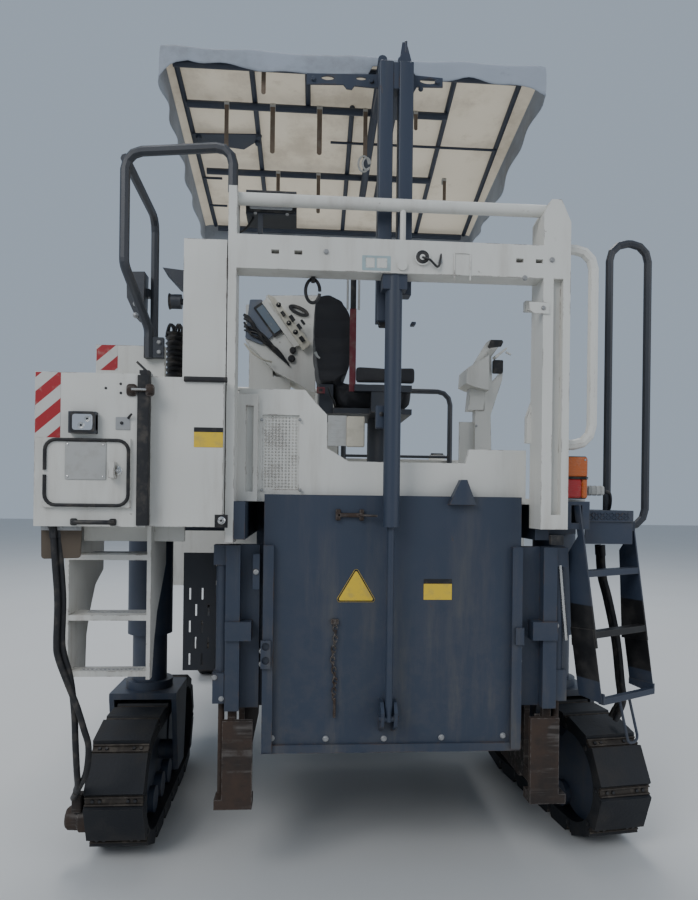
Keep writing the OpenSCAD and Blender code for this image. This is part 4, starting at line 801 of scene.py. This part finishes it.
# Rear wall: the vent grille's screws, a blank plate with six fine ribs, a beige box beside
# it, and the slate and black boxes of the wiring above.
wall = Form()
for x0, z0 in [(-457, 1777), (-301, 1780), (-454, 1487), (-297, 1489)]:
    wall.bolt((x0, -60, z0), across=11, high=5, kind=1)
wall.block((-184, -106), (-53, -50), (1675, 1802), 1, 3, 1, 3)
for z0 in np.linspace(1694, 1780, 6):
    wall.block((-174, -116), (-53.8, -53), (z0, z0 + 3), 1, 0.5, 0.1, 2)
wall.block((-107, -31), (-71, -50), (1671, 1798), 2, 8, 4, 4)
wall.block((7, 51), (-140, -104), (1743, 1836), 2, 6, 3, 5)
wall.turned((29, -141, 1800), REAR, [(9, 0), (9, 3), (5, 5)], 16, 0)
wall.block((20, 73), (-72, -52), (2170, 2345), 2, 8, 4, 0)
beige_box = plain("beige_box", (0.50, 0.46, 0.37), 0.5)
wall.close("rear_wall_fittings", [black_plastic, dull_zinc, pale_clip, blank_plate, beige_box,
                                  slate], "lamp_parts")



# Hoses to the rear tracks' motors: black rubber hydraulic hose, three to a track, with
# crimped steel ends. They leave the frame above, hang past the leg and follow its turns.
dark_steel = plain("dark_steel", (0.045, 0.045, 0.048), 0.5, 0.7, 0.3)


def hose(name, path, radius):
    """A rubber tube along a smooth path, with a steel sleeve at either end."""
    run = curve(path, 9)
    form = Form()
    form.tube(run, radius, 12)
    for sleeve in (run[-5:], run[:4]):
        form.tube(sleeve, radius * 1.2, 12, 1)
    piece = form.close(name, [black_rubber, dark_steel], "track_rubber", None, 50.0)
    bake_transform(piece)


right_run = np.array([(1088, 150, 1258), (1099, 150, 1120), (1129, 150, 1005), (1169, 150, 821),
                      (1191, 150, 637), (1201, 155, 545), (1174, 175, 453)], float)
left_top = [(-1208, -235, 1335), (-1196, -245, 1210), (-1183, -250, 1060), (-1185, -250, 909)]
left_bulge = [(-1180, -248, 850), (-1150, -240, 758), (-1116, -230, 663), (-1090, -220, 568),
              (-1078, -200, 492), (-1100, -150, 379), (-1150, -60, 290), (-1212, 50, 190)]
left_straight = [(-1178, -248, 850), (-1156, -240, 758), (-1142, -235, 640), (-1140, -220, 500),
                 (-1150, -170, 380), (-1175, -80, 290), (-1225, 60, 190)]
for k in range(3):
    aside = np.array([(14 * k - 14) * math.cos(k), 30 * k - 30, 0.0])
    hose(f"rear_right_hose_{k + 1}", right_run + aside, 12)
    left_run = np.array(left_top + (left_straight if k else left_bulge), float)
    hose(f"rear_left_hose_{k + 1}", left_run + aside * (1.0, 0.6, 0.0), 12)


# Motor end: the cast cover of the rear left track's brake, oily and brown, with the ports
# that the hoses end in.
motor = Form()
hub_y, hub_z, screw_ring = 95, 78, 50
motor.turned((-1180, hub_y, hub_z), (-1, 0, 0),
             [(58, 0), (58, 34), (50, 40), (48, 82), (40, 92), (12, 93)], 28)
for k in range(6):
    bend = math.radians(60 * k + 20)
    motor.bolt((-1214, hub_y + screw_ring * math.cos(bend), hub_z + screw_ring * math.sin(bend)),
               axis=(-1, 0, 0), across=10, high=6, kind=1)
motor.block((-1240, -1196), (40, 90), (120, 196), 2, 9, 3)
motor.close("brake_cover", [worn, dark_steel], "worn_steel", "rear_left_unit")

# Seat: a cushion, a back and an armrest of black cloth over foam, sewn with channels. Their
# closed skins are blown up a little by pressure while the seam lines stay where they are.
def stuffed(form, name, seams, reach=0.026):
    """Skins of the form, remeshed evenly, drawn in by 8 mm and blown up by cloth physics.
    seams(points) says which points are sewn down; none moves further than reach."""
    piece = form.close(name, [cloth], "seat_cloth", crease=80.0)
    even = piece.modifiers.new("even", "REMESH")
    even.mode = "VOXEL"
    even.voxel_size = 0.0095
    skin = bpy.data.meshes.new_from_object(piece.evaluated_get(
        bpy.context.evaluated_depsgraph_get()))
    piece.modifiers.clear()
    piece.data = skin
    count = len(skin.vertices)
    at, out = np.empty(count * 3), np.empty(count * 3)
    skin.vertices.foreach_get("co", at)
    skin.vertex_normals.foreach_get("vector", out)
    at, out = at.reshape(-1, 3), out.reshape(-1, 3)
    sewn = seams(at * 1000.0 + (0.0, MIDDLE, -LIFT))
    start = at - out * np.where(sewn, 0.012, 0.008)[:, None]
    skin.vertices.foreach_set("co", start.ravel())
    group = piece.vertex_groups.new(name="seams")
    group.add(np.flatnonzero(sewn).tolist(), 1.0, "REPLACE")
    stuffing = piece.modifiers.new("stuffing", "CLOTH")
    stuffing.settings.quality = 4
    stuffing.settings.use_pressure = True
    stuffing.settings.uniform_pressure_force = 4.0
    stuffing.settings.vertex_group_mass = "seams"
    stuffing.settings.effector_weights.gravity = 0.0
    stuffing.point_cache.frame_start = 1
    stuffing.point_cache.frame_end = 20
    for moment in range(1, 21):
        bpy.context.scene.frame_set(moment)
    blown = piece.evaluated_get(bpy.context.evaluated_depsgraph_get()).to_mesh()
    there = np.empty(count * 3)
    blown.vertices.foreach_get("co", there)
    move = there.reshape(-1, 3) - start
    far = np.linalg.norm(move, axis=1)[:, None]
    move *= np.minimum(1.0, reach / np.maximum(far, 1e-9))
    piece.modifiers.clear()
    skin.vertices.foreach_set("co", (start + move).ravel())
    bpy.context.scene.frame_set(1)
    skin.update()
    skin.materials.clear()
    skin.materials.append(cloth)
    skin.shade_smooth()
    smooth = piece.modifiers.new("smooth", "SUBSURF")
    smooth.levels = smooth.render_levels = 1
    return piece


cushions = Form()
cushions.block((-142, 225), (248, 640), (1879, 2000), 2, 46, 22)
back = Form()
back.cut(rounded([(-224, 1989), (-147, 1989), (-75, 2036), (-55, 2230), (-75, 2315), (-112, 2371),
                  (-173, 2399), (-246, 2387), (-250, 2181)], 16, 3), [], 226, 654)
cushions.copy(back)
cushions.block((-57, 227), (180, 235), (1978, 2065), 0, 22, 12)


def sewn_lines(p):
    """Channels across the seat and the back, and the piping round their sides."""
    seat = (p[:, 2] > 1960) & (p[:, 2] < 2006) & (p[:, 1] > 240)
    lines = seat & (np.abs((p[:, 0] + 30) % 85 - 42) < 6)
    back = (p[:, 0] < -60) & (p[:, 2] > 2020) & (np.abs((p[:, 2] - 2080) % 78 - 39) < 6)
    piping = (p[:, 2] > 2000) & (p[:, 0] < -50) & (np.abs(np.abs(p[:, 1] - 440) - 205) < 6)
    return lines | back | piping


seat = stuffed(cushions, "stuffed_seat", sewn_lines)
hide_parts("seat_cushions")

# Seat fittings: the worn red belt that hangs past the back from its reel, the red buckle,
# and the pale lever at the back's hinge.
belt_cloth = plain("red_belt", (0.155, 0.030, 0.040), 0.80, spots=0.5)
belts = Form()
belts.block((-81, -51), (203, 206), (1945, 2322), 2, 1.2, 0.4)
belts.block((-79, -53), (199, 209), (2322, 2500), 2, 3, 1, 1)
belts.block((-228, -190), (206, 224), (1934, 1962), 1, 4, 2)
belts.block((-217, -201), (203, 208), (1942, 1954), 1, 2, 0.5, 1)
for x0 in (-92, -40):
    belts.tube([(x0, 205, 2318), (x0, 205, 2410), (x0, 205, 2505)], 5, 8, 2)
belts.tube([(-236, 216, 2120), (-228, 210, 2104), (-216, 206, 2092)], [8, 6, 4], 8, 2)
belts.tube(curve([(-175, 215, 1962), (-165, 205, 1925), (-150, 200, 1900), (-142, 215, 1880)]), 5, 8, 1)
belts.close("seat_belt", [belt_cloth, black_plastic, pale_clip], "seat_cloth")

# Left console: a sloping strip of switches on a pale plate, a display beside it, a grey
# panel where the cables come together, and the dark grip of the lid behind.
strip = np.array([(-492, 2532), (-444, 2507), (-251, 2273), (-293, 2235)], float)
down_strip = np.array([0.60, -0.80])
over_strip = np.array([0.80, 0.60])


def leaning(x, z, long, wide):
    """A rectangle that lies along the strip, about a point in X and Z."""
    return np.array([np.array((x, z)) + down_strip * long * a / 2 + over_strip * wide * b / 2
                     for a, b in [(-1, -1), (1, -1), (1, 1), (-1, 1)]])


grey_panel = plain("grey_panel", (0.115, 0.135, 0.175), 0.5)
pale_panel = plain("pale_panel", (0.56, 0.53, 0.44), 0.5)
console = Form()
console.cut(rounded(strip, 5), [], 700, 716)
console.cut(rounded([(-576, 2502), (-513, 2504), (-416, 2348), (-510, 2266), (-598, 2300)], 8), [],
            728, 739.5, 1)
console.cut(rounded(leaning(-476, 2400, 190, 62), 8), [], 724, 730, 2)
console.cut(rounded(leaning(-476, 2400, 160, 42), 4), [], 721, 724.5, 3)
for x0, z0, long, wide in [(-399, 2423, 26, 17), (-352, 2400, 34, 20), (-314, 2357, 30, 18),
                           (-295, 2381, 30, 12), (-299, 2293, 30, 20)]:
    console.cut(leaning(x0, z0, long, wide), [], 688, 700.5, 2)
for x0, z0 in [(-369, 2376), (-334, 2330), (-423, 2470)]:
    console.turned((x0, 700, z0), REAR, [(13, 0), (13, 3), (9, 5), (8, 14), (6, 15)], 20, 2)
    console.turned((x0, 685, z0), REAR, [(3, 0), (3, 1.5), (1.5, 2)], 10, 0)
console.turned((-347, 736, 2240), REAR, [(17, 0), (17, 12), (13, 16)], 18, 2)
console.turned((-353, 736, 2196), REAR, [(19, 0), (19, 10), (12, 15)], 18, 2)
for k, (x0, z0) in enumerate([(-560, 2390), (-545, 2372), (-520, 2330), (-575, 2350), (-505, 2310)]):
    console.tube(curve([(-604, 730, z0 + 30), (x0 - 18, 712, z0 + 8), (x0 + 8, 716, z0 - 34),
                        (x0 + 40 + 9 * k, 724, z0 - 66), (-420 + 14 * k, 730, 2222 - 16 * k)]),
                 9 - k, 8, 2)
console.tube(curve([(-598, 700, 2262), (-560, 690, 2215), (-500, 695, 2180), (-455, 715, 2172)]), 5, 8, 0)
oval = np.linspace(0, 2 * np.pi, 21)[:-1]
console.cut(np.stack([-320 + 62 * np.cos(oval) * 0.92 + 20 * np.sin(oval) * 0.5,
                      2522 + 22 * np.sin(oval) - 24 * np.cos(oval)], -1),
            [np.stack([-320 + 38 * np.cos(oval) * 0.92, 2522 + 9 * np.sin(oval) - 15 * np.cos(oval)],
                      -1)], 974, 989, 2)
display = plain("display", (0.16, 0.20, 0.24), 0.14)
console.close("console_fittings", [pale_panel, grey_panel, black_plastic, display], "lamp_parts")


# Right console: the open lid of its box with a black inside, its pale lever, and the
# screws of the door below.
lid = Form()
lid.cut([(563, 2132), (571, 2122), (655, 2228), (712, 2262), (716, 2274), (660, 2276), (640, 2262)],
        [], 520, 540)
lid.cut([(652, 2232), (712, 2240), (722, 2262), (716, 2272), (660, 2272), (646, 2240)], [], 505, 520, 1)
lid.cut([(690, 2180), (742, 2226), (750, 2240), (738, 2236), (680, 2192)], [], 520, 560)
lid.cut([(745, 2215), (770, 2203), (772, 2208), (747, 2222)], [], 530, 545, 0)
lid.block((684, 736), (548, 572), (2112, 2180), 1, 6, 2, 1)
for z0 in (1700, 1840):
    lid.turned((604, 569, z0), REAR, [(6, 0), (6, 4), (3, 6)], 12, 2)
lid.close("right_console_lid", [white, black_plastic, dull_zinc], "white_paint")

# Track shoes: between the rubber pads the steel shoes show as brown strips with two grips
# and a pair of bolts at either side, and the chain's pins show at their ends.
shoe_steel = plain("shoe_steel", (0.040, 0.032, 0.026), 0.6, 0.35, 0.4)
flat_half, pitch_r, track_r, shoe_count, shoe_half = 390.0, 226.0, 275.0, 16, 122.5


def on_track(s):
    """Where the pitch line is at distance s, and the directions along and out of it."""
    arc, s = np.pi * pitch_r, s % (4 * flat_half + 2 * np.pi * pitch_r)
    if s < 2 * flat_half:
        turn, middle = -np.pi / 2, np.array([s - flat_half, 0.0])
    elif s < 2 * flat_half + arc:
        turn, middle = -np.pi / 2 + (s - 2 * flat_half) / pitch_r, np.array([flat_half, 0.0])
    elif s < 4 * flat_half + arc:
        turn, middle = np.pi / 2, np.array([3 * flat_half + arc - s, 0.0])
    else:
        turn, middle = np.pi / 2 + (s - 4 * flat_half - arc) / pitch_r, np.array([-flat_half, 0.0])
    out = np.array([np.cos(turn), np.sin(turn)])
    return middle + pitch_r * out, np.array([-out[1], out[0]]), out


shoe = Form()
shoe.block((-shoe_half + 3, shoe_half - 3), (-23, 23), (18, 33), 0, 4, 2)
for y0 in (-15, 15):
    shoe.block((-shoe_half + 2, shoe_half - 2), (y0 - 4, y0 + 4), (30, 41), 0, 2.5, 1.5)
for x0 in (-88, -58, 58, 88):
    shoe.turned((x0, 0, 32), UP, [(8.5, 0), (8.5, 5), (7, 7)], 6, 1)
for x0 in (-shoe_half + 3, shoe_half - 3):
    shoe.turned((x0, 0, 0), (np.sign(x0), 0, 0), [(13, -6), (13, 6), (10, 8)], 14, 1)
pitch = (4 * flat_half + 2 * np.pi * pitch_r) / shoe_count
for unit, x0, y0, toe in [("rear_left", -1057, 665, 0.0), ("rear_right", 1057, 665, 8.0),
                             ("front_left", -1057, 3665, 0.0), ("front_right", 1057, 3665, 0.0)]:
    swing = math.radians(toe)
    side = np.array([math.cos(swing), math.sin(swing), 0.0])
    ahead = np.array([-math.sin(swing), math.cos(swing), 0.0])
    steel = Form()
    for i in range(shoe_count):
        at, along, out = on_track(i * pitch)
        turn = np.array([side, along[0] * ahead + (0, 0, along[1]), out[0] * ahead + (0, 0, out[1])])
        steel.copy(shoe, turn, np.array([x0, y0, track_r - LIFT]) + at[0] * ahead + (0, 0, at[1]))
    steel.close(f"{unit}_shoes", [shoe_steel, dark_steel], "worn_steel", f"{unit}_unit")

# Right ladder: slate like the frame, with black rubber cheeks below its middle tread that
# give way when they touch the ground.
f = Finish("ladder_slate")
cheek = f.z.above(0.822, 0.826) * f.z.below(1.136, 1.140)
dust = f.noise(9.0, 6.0).above(0.45, 0.72)
colour = f.mix(cheek, (0.031, 0.043, 0.070), (0.008, 0.008, 0.009))
colour = f.mix(0.25 * dust + 0.45 * f.edges(0.006), colour, (0.110, 0.100, 0.090))
dress(f.done(colour, 0.5 + 0.15 * dust, f.noise(60.0, 3.0), 0.0006), "right_ladder")

# Left ladder's treads: open grip strips with pressed teeth, worn white to bare metal; the
# right ladder carries the same strips, and its platform has a checkered nosing.
grip = Form()
for z0, x0, x1, y0 in [(742, -1192, -925, -60), (970, -1180, -925, -20), (1216, -1176, -925, 20)]:
    for k in range(3):
        grip.block((x0 + 8, x1 - 8), (y0 + 14 + 26 * k, y0 + 20 + 26 * k), (z0 - 3, z0 + 2.5), 0, 1, 1)
    for x in np.arange(x0 + 20, x1 - 12, 17.0):
        grip.turned((x, y0 + 30, z0 - 1), UP, [(4.5, 0), (3.8, 3.4), (2, 2.6)], 8)
for x in np.arange(936, 1118, 13.0):
    for k in range(3):
        z = 1383 + 11 * k
        tilt = 4 if (k + int(x / 13)) % 2 else -4
        grip.tube([(x - 4, -61, z - tilt), (x, -63, z), (x + 4, -61, z + tilt)], 1.6, 6, 1)
grip.close("tread_grips", [dull_zinc, slate], "rail_steel")

# Left of the deck: the ribbed hose stack between cabinet and locker, the clamp's bolts on
# the rail's foot, wing bolts of the lamp box, its lens, and the horn's flared mouth.
left = Form()
stack = [(47 if k % 2 else 36, 12 * k) for k in range(18)]
left.turned((-872, 270, 1997), UP, stack, 24)
for k, (x0, x1) in enumerate([(-905, -880), (-880, -905), (-860, -842), (-848, -868)]):
    left.tube(curve([(x0, 262, 2190), (x0 + 6, 250, 2222), ((x0 + x1) / 2, 244, 2236),
                     (x1, 250, 2215), (x1 - 8, 258, 2180)]), 6, 8)
for x0, z0 in [(-950, 2070), (-904, 2070), (-950, 2112), (-904, 2112)]:
    left.bolt((x0, 62, z0), across=15, high=8, kind=1)
left.tube([(-970, -40, 2006), (-942, -50, 1980), (-913, -50, 1950)], [5, 5, 7], 10)
left.turned((-913, -50, 1950), REAR, [(10, -5), (10, 5), (6, 8)], 14, 1)
for z0 in (2387, 2331):
    left.turned((-1102, 470, z0), REAR, [(14, 0), (14, 5), (8, 8), (8, 14), (5, 16)], 16, 1)
left.turned((-842, 0, 2270), (-1, 0, 0), [(30, 0), (34, 8), (33, 9), (24, 2), (6, 3)], 24)
left.turned((-842, 0, 2270), (-1, 0, 0), [(8, 2), (8, 6), (4, 8)], 14, 1)
left.block((-522, -331), (-128, -120), (2606, 2690), 1, 8, 2)
left.block((-512, -341), (-130, -127), (2616, 2680), 1, 6, 1, 2)
for x0 in (-490, -362):
    left.bolt((x0, -120, 2604), axis=(0, 0, -1), across=12, high=6, kind=1)
left.tube(curve([(-500, -80, 2600), (-530, -70, 2560), (-560, -90, 2530), (-574, -120, 2500)]), 5, 8)
left.close("left_side_fittings", [black_plastic, dull_zinc, lens_clear], "lamp_parts")

# Guides of the side plates and the scraper: bolted brackets, a hinge pin and a bright rod
# on the frame, and brown worn wedges that lift with the side plates.
guides = Form()
for x0, z0 in [(-632, 728), (-604, 642), (725, 900), (778, 936)]:
    guides.bolt((x0, -112, z0), across=17, high=8, kind=1)
guides.block((-640, -594), (-112, -100), (622, 744), 1, 4, 1.5, 2)
guides.block((714, 790), (-112, -100), (884, 952), 1, 4, 1.5, 2)
guides.block((-484, -455), (-116, -100), (1082, 1228), 1, 5, 2, 2)
guides.turned((-470, -116, 1155), REAR, [(11, 0), (11, 6), (7, 9)], 16, 1)
guides.tube([(798, -90, 1187), (813, -90, 1030), (828, -90, 872)], 9, 12, 3)
guides.close("guide_fittings", [worn, dull_zinc, slate, bright_steel], "worn_steel")
for side, x0, step in [("left", -571, 6), ("right", 710, -5)]:
    wedge = Form()
    for k in range(4):
        middle = x0 + step * k
        wedge.block((middle - 5, middle + 5), (-108, -98), (305 + 47 * k, 567), 2, 2, 1.5)
    wedge.close(f"{side}_edge_wedges", [worn], "worn_steel", f"{side}_edge")

# Engine hood: folded lips under its louvres, rubber latches, a lifting handle, and the
# hinge's screws; they open with the hood.
hood = Form()
for i in range(8):
    z0 = 1610 + 50 * i
    hood.block((-827, -818), (1720, 2310), (z0 + 6, z0 + 12), 1, 2, 1)
for y0 in (1560, 2420, 3000):
    hood.block((-832, -819), (y0, y0 + 34), (1440, 1520), 2, 5, 3, 1)
    hood.turned((-832, y0 + 17, 1500), (-1, 0, 0), [(9, 0), (9, 4), (5, 6)], 14, 2)
hood.tube(curve([(-560, 3420, 2000), (-560, 3462, 2003), (-540, 3474, 2000), (-440, 3476, 2000),
                 (-340, 3474, 2000), (-320, 3462, 2003), (-320, 3420, 2000)], 5), 9, 10, 1)
for x0 in (-760, -600, -280, -120):
    for y0 in (1500, 2400, 3200):
        hood.bolt((x0, y0, 2140), axis=UP, across=15, high=6, kind=2)
for y0 in (2060, 2660):
    hood.block((-700, -180), (y0, y0 + 8), (2140, 2143), 0, 1, 0.5)
hood.close("hood_fittings", [white, black_rubber, dull_zinc], "white_paint", "hood")

# Tanks and side boxes: filler caps with grip ribs, steel straps with their screws, and
# rows of bolts along the side boxes' lids.
tank = Form()
for x0, y0, z0, r in [(620, 1665, 1760, 55), (620, 2615, 1760, 55), (-500, 4030, 1640, 60),
                      (500, 4030, 1640, 60)]:
    tank.turned((x0, y0, z0), UP, [(r, -22), (r + 4, -18), (r + 4, -4), (r - 4, 2), (r - 20, 3)], 30)
    tank.block((x0 - r + 12, x0 + r - 12), (y0 - 8, y0 + 8), (z0 + 1, z0 + 15), 0, 5, 4)
for y0 in (1900, 2450, 3100):
    tank.block((100, 740), (y0, y0 + 40), (1715, 1718.5), 0, 1, 1, 2)
    tank.block((820, 823.5), (y0, y0 + 40), (1380, 1650), 2, 1, 1, 2)
    for x0 in (130, 710):
        tank.bolt((x0, y0 + 20, 1718), axis=UP, across=15, high=7, kind=1)
for side in (-1, 1):
    for y0 in np.linspace(1520, 2780, 8):
        for z0 in (990, 1290):
            tank.bolt((side * 1160, y0, z0), axis=(side, 0, 0), across=15, high=7, kind=1)
    tank.tube(curve([(side * 1160, 2020, 1140), (side * 1186, 2022, 1140), (side * 1192, 2050, 1140),
                     (side * 1192, 2200, 1140), (side * 1186, 2228, 1140), (side * 1160, 2230, 1140)],
                    4), 7, 8)
tank.close("tank_fittings", [black_plastic, dull_zinc, white], "lamp_parts")

# Discharge belt: rubber cleats in a chevron, moulded on the belt's upper run. Each is two
# straight tubes a side, that run forward from the middle of the belt less than its edges.
rise = math.radians(6.0)
slew_y, hinge_z, belt_top = 4950.0, 930.0, 112.0
first_cleat, cleat_pitch, cleat_count = -40.0, 300.0, 19
lift = np.array((0.0, -belt_top * math.sin(rise), belt_top * math.cos(rise)))
cleats = Form()
for k in range(cleat_count):
    for side in (-1, 1):
        for ends in [(0, 130), (130, 260)]:
            path = []
            for u in ends:
                v = first_cleat + cleat_pitch * k - 0.45 * u
                path.append(lift + (side * u, slew_y + v * math.cos(rise), hinge_z + v * math.sin(rise)))
            cleats.tube(path, 9, 8)
cleats.close("belt_cleats", [belt], "belt_rubber", "boom")

# Floor and studio light: a plain pale floor, a cool even sky, and three large soft lamps,
# one from the left behind the camera, a weaker one from its right, and one from above.
f = Finish("pale_floor")
floor_finish = f.done(f.mix(f.noise(0.8, 3.0), (0.62, 0.62, 0.61), (0.58, 0.58, 0.57)), 0.8)
floor_mesh = bpy.data.meshes.new("floor")
floor_mesh.from_pydata([(-40, -40, 0), (40, -40, 0), (40, 40, 0), (-40, 40, 0)], [],
                       [(0, 1, 2, 3)])
floor = bpy.data.objects.new("floor", floor_mesh)
bpy.context.scene.collection.objects.link(floor)
floor_mesh.materials.append(floor_finish)

world = bpy.data.worlds.new("studio")
world.use_nodes = True
world.node_tree.nodes["Background"].inputs["Color"].default_value = (0.70, 0.83, 1.0, 1.0)
world.node_tree.nodes["Background"].inputs["Strength"].default_value = 0.48
bpy.context.scene.world = world
for name, place, aim, size, power in [
    ("key", (-7.0, -13.0, 9.0), (0.0, -3.0, 1.2), 6.0, 640.0),
    ("fill", (9.0, -11.0, 5.0), (0.0, -3.0, 1.2), 7.0, 230.0),
    ("top", (0.0, 1.0, 12.0), (0.0, 0.0, 0.0), 8.0, 900.0),
]:
    lamp = bpy.data.objects.new(name, bpy.data.lights.new(name, "AREA"))
    lamp.data.size = size
    lamp.data.energy = power
    lamp.location = place
    lamp.rotation_euler = (Vector(aim) - Vector(place)).to_track_quat("-Z", "Y").to_euler()
    bpy.context.scene.collection.objects.link(lamp)
